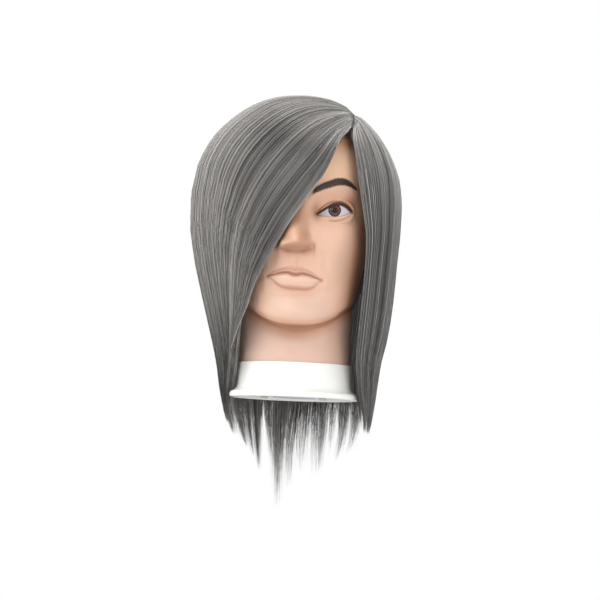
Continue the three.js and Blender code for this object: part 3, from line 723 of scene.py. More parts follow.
def build_head():
    rings, spokes = HEAD_RINGS, HEAD_SPOKES
    # rings are spaced along the front profile and crowd over the features of the face
    stations = np.linspace(0, HEAD_TOP, 4000)
    profile = head_surface(stations, np.zeros_like(stations), detail=False)
    step = np.linalg.norm(np.diff(profile, axis=0), axis=1)
    z = 0.5 * (profile[1:, 2] + profile[:-1, 2])
    density = 0.45 + 1.15 * rise(60, 72, z) * fall(206, 220, z)
    density = density + 0.5 * bell(z, 175, 10) + 0.35 * bell(z, 112, 12)
    travel = np.concatenate([[0], np.cumsum(step * density)])
    station = np.interp(np.linspace(0, travel[-1], rings), travel, stations)
    # spokes crowd towards the front
    turn = -np.pi + TAU * np.arange(spokes) / spokes
    turn = turn - 0.62 * np.sin(turn)
    grid = head_surface(*np.meshgrid(station, turn, indexing="ij"))
    skin = grid.reshape(-1, 3)
    top = skin[-spokes:].mean(0)
    top[2] += 0.5
    # the neck's open end turns inwards, and a floor 22 mm up closes it
    lip = skin[:spokes] * np.array([0.93, 0.93, 1.0])
    inner = lip.copy()
    inner[:, 2] += 22
    count = len(skin)
    lip_at = count + 1
    inner_at = lip_at + spokes
    points = np.concatenate([skin, [top], lip, inner, [inner.mean(0)]])
    quads = [grid_quads(rings, spokes), band(lip_at, 0, spokes), band(inner_at, lip_at, spokes)]
    tris = [
        fan(count - spokes, spokes, count),
        fan(inner_at, spokes, inner_at + spokes, flip=True),
    ]
    normals = np.cross(np.roll(grid, -1, 1) - np.roll(grid, 1, 1), np.gradient(grid, axis=0))
    middle = rings // 2
    down = -unit(normals)[..., 2]
    down *= np.sign((normals[middle] * (grid[middle] - np.array([0, 0, 150]))).sum())
    down = np.concatenate([down.ravel(), np.zeros(len(points) - count)])
    return make_mesh("vinyl_head", points, np.concatenate(quads), np.concatenate(tris),
                     colour=skin_colour_and_shade(points, down))


# ------------------------------------------------------------------ ears
EAR_AT = (71.2, 12.0, 163.0)
EAR_HALF = (15.5, 30.0)  # half length and half height
EAR_FLARE, EAR_TILT = 0.36, 0.16  # away from the skull, and about X (radians)


def build_ear(name, side):
    """Rim, inner fold, bowl and lobe on the outside, smooth behind."""
    radius, turn = polar(np.linspace(0, 1, 26), 72)
    cos, sin = np.cos(turn), np.sin(turn)
    outline = 1 + 0.10 * np.cos(turn - 0.8) - 0.16 * np.clip(-sin, 0, 1) ** 2 * (cos * 0.5 + 0.5)
    back = EAR_HALF[0] * outline * radius * cos
    up = EAR_HALF[1] * outline * radius * sin * (1 - 0.10 * (sin < 0))

    def spot(back_at, up_at, long, high, spread):
        return bell(np.hypot((back - back_at) / long, (up - up_at) / high), 0, spread)

    rim = bell(radius, 0.90, 0.085) * (0.35 + 0.65 * rise(-0.85, -0.2, sin + 0.4 * cos))
    fold = bell(radius, 0.60, 0.10) * rise(-0.1, 0.5, cos) * rise(-0.75, -0.2, sin)
    bowl = spot(-3.5, -2, 7.0, 11.0, 0.85)
    tragus = spot(-11.5, -1, 3.2, 5.0, 0.9)
    lobe = spot(-2, -23, 8, 7, 0.9)
    height = 2.2 + 3.6 * rim + 2.4 * fold - 5.2 * bowl + 3.4 * tragus + 1.4 * lobe
    height = height - 2.0 * rise(0.95, 1.0, radius)
    flare = np.clip(back + 12, 0, None) * math.sin(EAR_FLARE)
    length = back * math.cos(EAR_FLARE)
    outer = np.stack([height + flare, length, up], -1)
    inner = np.stack([-2.0 - 1.5 * (1 - radius**2) + flare, length * 0.985, up * 0.985], -1)
    points, quads = two_sheets(outer, inner, turn_rim=True)
    out, y, z = points.T
    cos, sin = math.cos(EAR_TILT), math.sin(EAR_TILT)
    points = [side * (EAR_AT[0] + out), EAR_AT[1] + (y * cos + z * sin), EAR_AT[2] + (z * cos - y * sin)]
    piece = make_mesh(name, np.stack(points, -1), quads, colour=(0.70, 0.42, 0.28))
    face_outward(piece)
    return piece


# ------------------------------------------------------------------ eyes
def build_eye_white(side, name):
    """A dome with a hole for the iris."""
    radii = np.concatenate([
        np.linspace(IRIS_R + 0.05, IRIS_R + 1.2, 6), np.linspace(IRIS_R + 1.8, 17.6, 38),
    ])
    segments = 96
    radius, turn = polar(radii, segments)
    x = radius * np.cos(turn) + IRIS_X
    z = radius * np.sin(turn) * (1 - 0.25 * rise(IRIS_R + 0.6, IRIS_R + 5, radius)) + IRIS_Z
    front = np.stack([x, eyeball(x, z)[1], z], -1)
    wall = front[0].copy()
    wall[:, 1] += 2.6
    back = front[-1].copy()
    back[:, 1] = EYE_Y + 4
    points = np.concatenate([wall, front.reshape(-1, 3), back])
    points[:, 0] *= side
    points[:, 2] += LEAN * points[:, 1]
    count = len(points)
    centres = [points[:segments].mean(0)], [points[-segments:].mean(0)]
    tris = [fan(0, segments, count, flip=True), fan(count - segments, segments, count + 1)]
    piece = make_mesh(f"eye_{name}_white", np.concatenate([points, *centres]),
                      grid_quads(len(radii) + 2, segments), np.concatenate(tris))
    face_outward(piece)
    return piece


def eye_disc(side, radius, turn, y, back_y):
    """Two sheets over the iris circle, with the given front and back y."""
    front = np.stack([side * (radius * np.cos(turn) + IRIS_X), y, radius * np.sin(turn) + IRIS_Z], -1)
    front[..., 2] += LEAN * front[..., 1]
    back = front.copy()
    back[..., 1] = back_y
    return two_sheets(front, back)


def build_iris(side, name):
    """A shallow bowl with radial ridges and a pupil pit."""
    radius, turn = polar(np.linspace(0.0, IRIS_R, 34), 144)
    face = EYE_Y - EYE_R[1] + 0.75
    ridges = 0.10 * np.sin(turn * 31 + 2.0 * np.sin(radius * 1.7)) + 0.06 * np.sin(turn * 53 + radius * 2.1)
    dish = 0.55 * (1 - (radius / IRIS_R) ** 2)
    pit = 0.6 * fall(1.9, 2.5, radius)
    y = face + dish + pit + ridges * rise(2.3, 3.2, radius) * fall(IRIS_R - 0.8, IRIS_R, radius)
    points, quads = eye_disc(side, radius, turn, y, face + 1.9)
    radial = np.tile(radius.ravel(), 2) / IRIS_R
    turns = np.tile(turn.ravel(), 2)
    streak = 0.5 + 0.3 * np.sin(turns * 31 + 2.0 * np.sin(radial * 10)) + 0.2 * np.sin(turns * 53)
    piece = make_mesh(f"eye_{name}_iris", points, quads, attrs={"radial": radial, "streak": streak})
    face_outward(piece, weld=False)
    return piece


def build_cornea(side, name):
    """A clear cap that bulges slightly over the iris."""
    radius, turn = polar(np.linspace(0, IRIS_R, 18), 72)
    ball = eyeball(radius * np.cos(turn) + IRIS_X, radius * np.sin(turn) + IRIS_Z)[1]
    y = ball - 0.9 * (1 - (radius / IRIS_R) ** 2)
    piece = make_mesh(f"eye_{name}_cornea", *eye_disc(side, radius, turn, y, ball + 0.25))
    face_outward(piece)
    return piece


# ------------------------------------------------------------------ hair: outer envelope
# z, least x, greatest x, front y, back y, exponent
HAIR = np.array([
    [-112, -28, 30, 40, 72, 2],
    [-104, -30, 32, 38, 74, 2],
    [-60, -48, 58, 0, 84, 2],
    [-33, -62, 75, -25, 88, 2.1],
    [-5, -70, 78.5, -48, 92, 2.2],
    [35, -76, 82, -66, 96, 2.2],
    [58, -82, 87, -76, 99, 2.2],
    [83, -88.5, 90.5, -86, 103, 2.2],
    [107, -95, 92.5, -94, 108, 2.2],
    [134, -101.5, 94, -101, 113, 2.2],
    [163, -106, 96, -106, 116, 2.2],
    [187, -106.5, 96.5, -106, 117, 2.2],
    [211, -104, 94, -105.5, 115.5, 2.15],
    [230, -97.5, 87.5, -102, 111, 2.1],
    [249, -87, 77, -93, 102, 2.05],
    [265, -72, 63.5, -79, 87, 2],
    [278, -55, 47, -60, 67, 2],
    [287, -36, 30, -35, 42, 2],
    [290.8, -18, 12, -12, 20, 2],
    [291.6, -6, 2, 0, 8, 2],
])
HAIR_TOP = HAIR[-1, 0]
CROWN_Z = 200.0  # above this, rays spread from one level of the axis


def envelope(z):
    """Centre x and y, half widths in x and y, and exponent of the hair's outline at z."""
    low_x, high_x, front, back, power = [curve_at(HAIR[:, [0, c]], z) for c in range(1, 6)]
    return (low_x + high_x) / 2, (front + back) / 2, (high_x - low_x) / 2, (back - front) / 2, power


def project(points):
    """Moves points onto the envelope along rays from its axis. Also gives the rays' starts."""
    z = points[..., 2]
    level = np.minimum(z, CROWN_Z)
    axis = np.stack([*envelope(level)[:2], level], -1)
    ray = points - axis
    low = np.zeros(z.shape)
    high = np.full(z.shape, 3.0)
    for _ in range(26):
        middle = (low + high) / 2
        x, y, z = np.moveaxis(axis + ray * middle[..., None], -1, 0)
        mid_x, mid_y, half_x, half_y, power = envelope(z)
        size = np.abs((x - mid_x) / half_x) ** power + np.abs((y - mid_y) / half_y) ** power
        outside = (size > 1) | (z > HAIR_TOP)
        high = np.where(outside, middle, high)
        low = np.where(outside, low, middle)
    return axis + ray * ((low + high) / 2)[..., None], axis


# Guide strands, root to tip, from the fringe's free edge round the head's right side and the
# back to the free edge of the curtain on its left.
GUIDES = [
    # 0 fringe edge
    [(44.7, -63, 257.5), (39, -76, 248.5), (32, -86, 238.5), (27.5, -94, 226), (19.2, -102, 206),
     (9.4, -105, 190.5), (-0.5, -106, 174.8), (-11, -105, 158.8), (-19, -102, 144.2),
     (-25.5, -99, 133), (-34.5, -90, 116), (-41, -84, 101), (-47.5, -73, 81), (-58, -52, 55.5),
     (-65.5, -32, 31), (-68, -10, 4.5), (-66.5, 4, -13)],
    # 1
    [(45.8, -40, 268), (28, -70, 262), (8, -88, 247), (-12, -100, 226), (-30, -104, 203),
     (-45, -103, 178), (-57, -99, 152), (-64, -92, 126), (-68, -84, 100), (-70, -69, 72),
     (-72, -48, 42), (-71, -25, 14), (-66, -3, -11)],
    # 2
    [(46.8, -22, 273.5), (20, -40, 280), (-12, -52, 276), (-42, -62, 259), (-66, -66, 233),
     (-80, -68, 205), (-87, -68, 175), (-89, -66, 145), (-86, -60, 112), (-80, -50, 80),
     (-74, -38, 48), (-70, -22, 18), (-65, -2, -10)],
    # 3 outline on the head's right
    [(47, -6, 276.5), (23, -2, 287), (-8, 2, 290.5), (-38, 4, 287), (-57, 5, 277), (-74, 5, 263),
     (-89, 5, 246), (-99, 5, 227), (-105, 5, 205), (-106.5, 5, 180), (-105, 5, 155),
     (-101, 6, 130), (-94, 7, 104), (-87.5, 8, 78), (-81.5, 10, 52), (-76, 12, 28),
     (-70, 16, 3), (-63.5, 20, -13), (-57, 25, -25)],
    # 4 back right
    [(46.5, 12, 277), (22, 30, 284), (-8, 44, 280), (-38, 58, 265), (-60, 70, 242),
     (-74, 80, 212), (-79, 84, 180), (-78, 84, 145), (-72, 82, 105), (-65, 78, 62),
     (-59, 72, 20), (-53, 68, -18), (-47, 64, -48)],
    # 5
    [(45, 28, 276), (28, 52, 275), (4, 74, 262), (-18, 92, 238), (-30, 104, 208),
     (-36, 109, 176), (-37, 107, 140), (-36, 101, 98), (-34, 94, 52), (-32, 87, 6),
     (-33, 79, -36), (-36, 72, -74)],
    # 6 back centre
    [(43.5, 40, 274), (36, 62, 267), (26, 84, 250), (15, 101, 226), (7, 113, 196), (3, 116, 165),
     (2, 113, 130), (1, 105, 86), (0, 96, 38), (-2, 88, -8), (-5, 80, -56), (-7, 70, -108)],
    # 7
    [(44, 36, 275), (48, 58, 263), (48, 80, 243), (46, 96, 216), (43, 104, 186), (41, 106, 152),
     (39, 102, 112), (37, 95, 68), (34, 87, 22), (30, 80, -24), (27, 72, -70)],
    # 8 back left
    [(45.5, 24, 276.5), (58, 44, 264), (69, 60, 243), (77, 72, 215), (81, 78, 185), (80, 80, 150),
     (78, 79, 110), (74, 76, 65), (69, 73, 20), (65, 69, -18), (60, 65, -54)],
    # 9 outline on the head's left
    [(47.4, 2, 277), (56, 4, 267.5), (67, 5, 255), (79, 5, 239), (88, 5, 221), (94.5, 5, 202),
     (96.6, 5, 180), (96, 5, 155), (94, 6, 126), (91, 8, 91), (87, 10, 58), (82.5, 13, 26),
     (79.5, 18, -3), (77.5, 24, -31)],
    # 10
    [(47, -30, 270.5), (57, -40, 255), (67, -48, 236), (76, -53, 212), (81, -55, 185),
     (82.5, -54, 155), (81.5, -51, 124), (79.5, -46, 92), (77.5, -38, 60), (76, -28, 30),
     (76, -12, 0), (77, 8, -28)],
    # 11 free edge of the left curtain
    [(45.6, -62, 258), (46.4, -80, 242), (49.8, -88.0, 218.7), (53.4, -88.5, 196.6),
     (57.8, -85.4, 172.9), (61.0, -80.2, 150.3), (62.5, -76.2, 125.4), (61.4, -72, 102.5),
     (59.6, -63.6, 72), (58.6, -53.8, 46.1), (60.0, -43.2, 24.9), (63.2, -31, 3.5),
     (68.5, -15, -14), (76, 4, -30)],
]
# The guides span a field of columns. A place in it is (across, along): across counts guides,
# along runs from 0 at the root to 1 at the tip.
EDGE = len(GUIDES) - 1
STEPS = 110  # points along each column
COLUMNS = 34 * EDGE + 1


def resample(points, count):
    fine = rows_at(points, np.linspace(0, len(points) - 1, 400))
    travel = np.concatenate([[0], np.cumsum(np.linalg.norm(np.diff(fine, axis=0), axis=1))])
    even = np.linspace(0, travel[-1], count)
    return np.stack([np.interp(even, travel, fine[:, c]) for c in range(3)], -1)


guides = np.stack([resample([(x, y, z + LEAN * y) for x, y, z in g], STEPS) for g in GUIDES])
LENGTH = np.array([np.linalg.norm(np.diff(g, axis=0), axis=1).sum() for g in guides])
between = rows_at(guides.reshape(EDGE + 1, -1), np.linspace(0, EDGE, COLUMNS))
FIELD, AXIS = project(between.reshape(COLUMNS, STEPS, 3))
for _ in range(2):  # even out small steps where neighbouring guides disagree
    FIELD[1:-1] = 0.25 * FIELD[:-2] + 0.5 * FIELD[1:-1] + 0.25 * FIELD[2:]
NORMAL = outward(np.cross(np.gradient(FIELD, axis=0), np.gradient(FIELD, axis=1)), FIELD - AXIS)
WIDTH = np.linalg.norm(np.diff(FIELD, axis=0), axis=-1)  # mm between neighbouring columns


def sample(grid, across, along):
    """Bilinear lookup, carried on for up to three columns past the free edges."""
    column = np.clip(across / EDGE * (COLUMNS - 1), -3.0, COLUMNS + 2.0)
    step = np.clip(along * (STEPS - 1), 0, STEPS - 1.0001)
    i, j = np.clip(np.floor(column).astype(int), 0, COLUMNS - 2), step.astype(int)
    u, v = (column - i)[..., None], (step - j)[..., None]
    return (
        grid[i, j] * (1 - u) * (1 - v) + grid[i + 1, j] * u * (1 - v)
        + grid[i, j + 1] * (1 - u) * v + grid[i + 1, j + 1] * u * v
    )


# Locks at the ends: where the range they gather from begins, where their tips lie across the
# field, how far along the guides they hang, and how full the tip is.
LOCKS = np.array([
    (0.0, 0.14, 1.0, 1.3), (0.35, 0.6, 0.98, 1.3), (0.9, 1.25, 1.0, 1.3), (1.6, 1.9, 0.97, 1.2),
    (2.2, 2.45, 0.985, 1.3), (2.7, 3.0, 1.0, 1.3), (3.25, 3.5, 1.0, 1.3), (3.7, 4.02, 1.0, 1.2),
    (4.12, 4.44, 1.0, 1.0), (4.5, 4.9, 1.0, 1.1), (4.97, 5.66, 0.925, 0.9), (5.4, 5.95, 1.0, 0.72),
    (5.93, 6.2, 0.955, 1.0), (6.2, 6.55, 0.955, 0.62), (6.6, 6.97, 1.0, 0.95),
    (7.07, 7.22, 0.97, 0.85), (7.35, 7.60, 1.0, 0.85), (7.8, 8.04, 1.0, 0.8),
    (8.28, 8.66, 0.97, 1.0), (8.75, 9.0, 1.0, 1.3), (9.3, 9.6, 0.985, 1.2),
    (9.85, 10.05, 0.965, 1.2), (10.3, 10.5, 1.0, 1.3), (10.75, 10.9, 0.975, 1.3),
])
STRAND_POINTS = 25
BEND = 0.42  # strands share their points along as far as this
WAVES = ((0.8, 1.0), (1.9, 0.45), (3.6, 0.14))  # waves per length, height


def make_strands(count, first, last, seed, depth, radius=0.225, reach=1.0, tone_shift=0.0):
    """Centre lines, radii, tones and root places of strands rooted between two places across.

    depth is a range below the envelope, and reach is the share of the full length.
    """
    draw = np.random.default_rng(seed)
    crown = reach < 0.5
    # clumps, spread by the width of the field
    girth = WIDTH[:, int(STEPS * 0.45)] + 0.35 * WIDTH[:, int(STEPS * 0.12)]
    travel = np.concatenate([[0], np.cumsum(girth)])
    columns = np.arange(COLUMNS)
    start, stop = np.interp(np.array([first, last]) / EDGE * (COLUMNS - 1), columns, travel)
    clumps = max(3, int((stop - start) / 2.6))
    clump_at = start + (np.arange(clumps) + draw.uniform(0.0, 1.0, clumps)) * (stop - start) / clumps
    clump_tone = draw.normal(0, 0.04, clumps)
    clump_depth = draw.uniform(-0.25, 0.45, clumps)
    clump_phase = draw.uniform(0, TAU, (clumps, 3))
    clump = draw.integers(0, clumps, count)
    place = clump_at[clump] + draw.normal(0, 2.6, count)
    place = np.where((place < start) | (place > stop), draw.uniform(start, stop, count), place)
    # narrow wisps within the clumps
    wisp = np.floor(place / 0.7).astype(int)
    wisp -= wisp.min()
    wisp_tone = draw.normal(0, 0.15, wisp.max() + 1)[wisp]
    wisp_depth = draw.uniform(-0.35, 0.45, wisp.max() + 1)[wisp]
    root = np.interp(place, travel, columns) / (COLUMNS - 1) * EDGE
    local = np.interp(root / EDGE * (COLUMNS - 1), np.arange(COLUMNS - 1), girth)
    local = np.maximum(local, 0.2) * (COLUMNS - 1) / EDGE  # mm per guide
    # the lock each strand ends in
    lock = np.searchsorted(LOCKS[:, 0], root + draw.normal(0, 0.035, count), side="right") - 1
    tip, hang, fullness = LOCKS[np.clip(lock, 0, len(LOCKS) - 1), 1:].T
    length = np.interp(root, np.arange(EDGE + 1), LENGTH)
    hem = rise(3.9, 4.4, root) * fall(8.1, 8.5, root)  # the long ends at the back
    end = hang - (50 + 40 * hem) * draw.uniform(0, 1, count) ** fullness / length
    end = np.minimum(end * reach, 1.0)
    if crown:
        along = end[:, None] * np.linspace(0, 1, STRAND_POINTS)[None]
    else:
        # all bend at the same places over the crown, so that neighbours lie flat together
        shared = int(round(STRAND_POINTS * 0.64))
        even = np.concatenate([
            np.linspace(0, BEND, shared, endpoint=False),
            np.linspace(BEND, 1, STRAND_POINTS - shared),
        ])
        past = np.clip((even - BEND) / 0.58, 0, 1)
        along = np.minimum(even, BEND)[None] + past[None] * (end - BEND)[:, None]
    gather = (1 - (48 + 34 * hem) / length)[:, None]
    full = hang[:, None]
    pull = rise(gather, full * 1.02, along) ** 0.85 * draw.uniform(0.35, 1.0, count)[:, None]
    if crown:
        pull = pull * 0
    # waves, shared by the clump and of the strand's own
    across = root[:, None] * np.ones_like(along)
    sway = 1 / local[:, None] * (0.2 + 0.8 * rise(0.35, 1.0, along)) * rise(0, 0.2, along)
    own = draw.uniform(0, TAU, (count, 3))
    for i, (waves, height) in enumerate(WAVES):
        clump_wave = np.sin(TAU * waves * along + clump_phase[clump, i][:, None])
        across = across + sway * height * clump_wave
        own_wave = np.sin(TAU * waves * 1.2 * along + own[:, i][:, None])
        across = across + sway * height * 0.5 * own_wave
    across = across + (tip[:, None] - across) * pull
    spread = draw.normal(0, 1.5, count) * (0.5 + hem) / local
    across = across + spread[:, None] * rise(gather - 0.06, full, along)
    # fold back at the free edges, then let a few strands stray
    across = np.where(across < 0, -across * 0.6, across)
    across = np.where(across > EDGE, EDGE - (across - EDGE) * 0.6, across)
    stray = (draw.uniform(0, 1, count) < 0.012) * draw.normal(0, 1.4, count) / local
    across = across + stray[:, None] * rise(0.3, 1, along)
    below = draw.uniform(depth[0], depth[1], count) + clump_depth[clump] + wisp_depth
    # the free edges are thin, and the roots start deeper
    thin = 0.12 + 0.88 * rise(0.0, 0.55, np.minimum(across, EDGE - across))
    sink = (below[:, None] * (1 - 0.7 * pull) + 1.6 * pull) * thin
    sink = sink + 2.2 * fall(0.0, 0.022, along)
    lines = sample(FIELD, across, along) - sample(NORMAL, across, along) * sink[..., None]
    taper = 1 - 0.75 * rise(0.5, 1.0, along / end[:, None]) * rise(0.5, 0.9, along)
    radii = radius * taper * draw.uniform(0.7, 1.3, count)[:, None]
    radii[:, -1] *= 0.35
    # broad lighter and darker bands, then single strands; deeper strands are darker and so are those near
    # the fringe's free edge, both painted shade
    bands = 0.035 * np.sin(root * 7.3 + 1.0) + 0.03 * np.sin(root * 17.1 + 2.0) + 0.02 * np.sin(root * 37.0)
    tones = 0.54 + bands + clump_tone[clump] + wisp_tone + draw.normal(0, 0.18, count)
    tones = tones - 0.05 * np.clip(below, 0, 8) + tone_shift - 0.10 * bell(root, 0.0, 0.55)
    streak = draw.uniform(0, 1, count)
    tones = np.where(streak > 0.93, tones + 0.25, tones)
    tones = np.where(streak < 0.07, tones - 0.24, tones)
    return lines, radii, tones, root


def skin_front(x, z):
    """y of the smooth forehead."""
    station = np.interp(z, np.array(HEAD)[FOREHEAD:, 0], np.arange(FOREHEAD, len(HEAD)))
    row = rows_at(HEAD, station)
    front_y, half, mid_y, power = row[..., 1], row[..., 3], row[..., 4], row[..., 7]
    share = np.clip(1 - (np.abs(x) / half) ** power, 0.02, 1)
    return mid_y - (mid_y - front_y) * share ** (1 / power)


def tuft_strands(count, seed):
    """Short lengths that rise along the parting and its front end, and turn into the hair."""
    draw = np.random.default_rng(seed)
    front = draw.uniform(0, 1, count) < 0.45
    fringe = draw.uniform(0, 1, count) < 0.6
    at_front = np.where(fringe, draw.uniform(0.0, 0.6, count), EDGE - draw.uniform(0.0, 0.5, count))
    across = np.where(front, at_front, draw.uniform(0.1, EDGE - 0.1, count))
    x = 38.0 + 14.0 * draw.uniform(0, 1, count)
    z = 256.5 - 0.05 * (x - 45.5) ** 2 + draw.normal(0, 0.5, count)
    front_root = np.stack([x, skin_front(x, z) - 2.2, z - 1.4], -1)
    scatter = [draw.normal(0, 0.9, count), draw.normal(0, 2.5, count), draw.uniform(-9.0, -6.0, count)]
    parting_root = sample(FIELD, across, np.zeros(count)) + np.stack(scatter, -1)
    root = np.where(front[:, None], front_root, parting_root)
    steps = 16
    t = np.linspace(0, 1, steps)[None]
    end = np.where(front, draw.uniform(0.10, 0.26, count), draw.uniform(0.06, 0.2, count))
    along = 0.012 + (end[:, None] - 0.012) * t
    across = across[:, None] * np.ones((1, steps))
    sink = draw.uniform(-0.2, 1.0, count)[:, None, None]
    flow = sample(FIELD, across, along) - sample(NORMAL, across, along) * sink
    join = rise(0, np.where(front, 0.45, 0.32)[:, None], t)[..., None]
    lead = np.where(front[:, None], np.array([[0, -7.0, 7.0]]), np.array([[0, 0, 5.0]]))
    arch = lead[:, None, :] * np.sin(np.pi * np.clip(t * 1.5, 0, 1))[..., None]
    lines = root[:, None, :] * (1 - join) + flow * join + arch * (1 - join)
    radii = 0.21 * np.ones((count, steps)) * draw.uniform(0.7, 1.2, count)[:, None]
    radii[:, 0] *= 0.6
    radii[:, -1] *= 0.3
    return lines, radii, 0.46 + draw.normal(0, 0.17, count)


def painted_hair_light(tones, x, y, z):
    """Painted light and shade on the strands by where they lie on the head: lighter on top, on the head's
    right, on the upper left side, low on the right and below the collar; darker over the lower front of the
    left side and over the front of the top to the head's right of the middle.
    """
    front = y < 20
    tones = tones + 0.38 * rise(222, 288, z) + 0.40 * rise(30, 95, -x) * rise(-10, 130, z)
    tones = tones + 0.14 * rise(45, 70, x) * rise(150, 220, z)
    tones = tones - 0.07 * rise(45, 60, x) * fall(110, 190, z) * front
    tones = tones - 0.14 * bell(x, -24, 24) * bell(z, 240, 20) * front
    tones = tones + 0.08 * bell(x, -70, 22) * bell(z, 75, 50) + 0.14 * fall(-30, 10, z)
    return np.clip(tones, 0.02, 1.0)


def strands_mesh(name, lines, radii, tones):
    """Closed tapered three-sided tubes, one per strand, each with its own strip of UV space."""
    sides = 3
    count, steps, _ = lines.shape
    tangent = unit(np.gradient(lines, axis=1))
    reference = np.where(np.abs(tangent[..., 1:2]) > 0.9, [1.0, 0, 0], [0, 1.0, 0])
    side = unit(np.cross(tangent, reference))
    up = np.cross(side, tangent)
    turn = TAU * np.arange(sides) / sides
    spoke = np.cos(turn)[:, None] * side[:, :, None, :] + np.sin(turn)[:, None] * up[:, :, None, :]
    rings = lines[:, :, None, :] + radii[:, :, None, None] * spoke
    base = (np.arange(count)[:, None, None] * steps + np.arange(steps - 1)[None, :, None]) * sides
    j = np.arange(sides)[None, None, :]
    j2 = (j + 1) % sides
    quads = np.stack([base + j, base + j2, base + sides + j2, base + sides + j], -1).reshape(-1, 4)
    root = np.arange(count) * steps * sides
    tip = root + (steps - 1) * sides
    tris = np.concatenate([
        np.stack([root, root + 2, root + 1], -1), np.stack([tip, tip + 1, tip + 2], -1),
    ])
    along = np.linspace(0, 1, steps)[None, :, None]
    tones = np.repeat(tones, steps * sides).reshape(count, steps, sides)
    tones = tones + 0.04 * np.sin(along * 7 + np.arange(count)[:, None, None])
    # painted light and shade by place on the head
    tones = painted_hair_light(tones, *np.moveaxis(rings, -1, 0))
    piece = make_mesh(name, rings.reshape(-1, 3), quads, tris, attrs={"tone": tones.ravel()})
    # four rows of strips; the last face of each ring wraps, so its far corner ends the strip
    per_row = int(math.ceil(count / 4))
    loops = np.concatenate([quads.ravel(), tris.ravel()])
    strand, step = np.divmod(loops // sides, steps)
    face = np.repeat(np.tile(np.arange(sides), count * (steps - 1)), 4)
    corner = np.tile([0, 1, 1, 0], len(quads))
    inside = np.concatenate([face + corner, tris.ravel() % sides]) / sides
    u = (strand % per_row + 0.08 + 0.84 * inside) * (1.0 / per_row)
    v = (strand // per_row + 0.02 + 0.96 * step / (steps - 1)) / 4
    layer = piece.data.uv_layers.new(name="OFBake")
    layer.data.foreach_set("uv", np.stack([u, v], -1).astype(np.float32).ravel())
    return piece


def mass_mesh(name, first, last, end):
    """A closed curved slab under the strands, following the same flow."""
    outer, inner = 5.2, 7.2  # depths below the envelope
    start = 0.02
    cols, rows = 110, 64
    grid = np.meshgrid(np.linspace(first, last, cols), np.linspace(0, 1, rows), indexing="ij")
    across, along = grid
    hang = np.interp(across, LOCKS[:, 1], LOCKS[:, 2])
    ragged = 0.02 * np.sin(across * 23) + 0.015 * np.sin(across * 41 + 1)
    along = start + (end * hang + ragged - start) * along
    field, normal = sample(FIELD, across, along), sample(NORMAL, across, along)
    groove = 0.45 * np.sin(across * 95 + 3 * np.sin(along * 5))
    groove = groove + 0.3 * np.sin(across * 173 + 2 * np.sin(along * 7))
    thin = rise(0, 0.06, along - start) * rise(0, 0.10, (end * hang + ragged - along) + 0.004)
    thin = np.clip(thin, 0.15, 1)
    middle = (outer + inner) / 2
    outside = field - normal * (middle + (outer - middle) * thin + groove * 0.5)[..., None]
    inside = field - normal * (middle + (inner - middle) * thin)[..., None]
    points = np.concatenate([outside.reshape(-1, 3), inside.reshape(-1, 3)])
    count = cols * rows
    rim = np.concatenate([
        np.arange(rows), np.arange(1, cols) * rows + rows - 1,
        (cols - 1) * rows + np.arange(rows - 2, -1, -1), np.arange(cols - 2, 0, -1) * rows,
    ])
    ahead = np.roll(rim, -1)
    quads = np.concatenate([
        grid_quads(cols, rows, wrap=False),
        grid_quads(cols, rows, wrap=False, start=count, flip=True),
        np.stack([rim, ahead, ahead + count, rim + count], -1),
    ])
    uv = np.tile(np.stack([across, along], -1).reshape(-1, 2), (2, 1))
    piece = make_mesh(name, points, quads, uv=uv)
    face_outward(piece, weld=False)
    return piece


# ================================================================== build: base
white = plastic("white_plastic", (0.855, 0.855, 0.825), rough=0.3, grain=260, depth=0.03, mottle=0.012)
disc_mat = plastic("disc_plastic", (0.80, 0.80, 0.77), rough=0.4, grain=300, depth=0.05)
sleeve_mat = plastic("sleeve_plastic", (0.52, 0.53, 0.55), rough=0.42, grain=300, depth=0.06)
plug_mat = plastic("plug_plastic", (0.62, 0.62, 0.6), rough=0.5, grain=280, depth=0.08)
steel = plastic("screw_steel", (0.62, 0.63, 0.64), rough=0.3, grain=700, depth=0.08, metallic=1.0)
foam_mat = plastic("foam", (0.78, 0.66, 0.36), rough=0.9, grain=600, depth=0.5, mottle=0.1)
eye_white_mat = plastic("eye_white", (0.53, 0.505, 0.53), rough=0.12, grain=200, depth=0.01, mottle=0.02)
scalp_mat = plastic("scalp_vinyl", (0.20, 0.17, 0.15), rough=0.6, grain=500, depth=0.3, mottle=0.15)

# Outlines of the turned pieces: radius, z, corner rounding
COLLAR = [
    (53.4, 33.0, 0.5), (53.4, 6.0, 0.2), (56.2, 6.0, 0.3), (56.2, 0.0, 0.4), (61.6, 0.0, 1.2),
    (62.5, 1.6, 1.2), (62.5, 3.2, 1.2), (61.7, 5.2, 1.4), (59.4, 6.2, 1.4), (57.2, 7.4, 1.4),
    (55.9, 9.6, 1.4), (55.5, 13.0, 2.5), (55.5, 33.0, 0.8),
]
DISC = [(16.2, 2.8, 0.4), (55.8, 2.8, 0.5), (55.8, 5.7, 0.3), (16.2, 5.7, 0.3)]
SLEEVE = [
    (0.001, 112, 0), (0.001, 109, 0), (13.2, 109, 0.6), (13.2, 0.8, 0.8), (20, 0.8, 0.5),
    (20, 2.4, 0.4), (15.8, 2.4, 0.3), (15.8, 112, 0.6),
]
mount(lathe("collar", COLLAR, segments=160), white, "white_plastic", "neck_collar")
mount(lathe("bottom_disc", DISC, segments=128), disc_mat, "white_plastic", "base_disc")
mount(lathe("holder_sleeve", SLEEVE, segments=96), sleeve_mat, "sleeve_plastic", "mount_sleeve")

SCREW_CIRCLE = 40  # radius the screws stand on
SCREW_HEAD, SCREW_SHANK = 3.6, 1.85  # radii


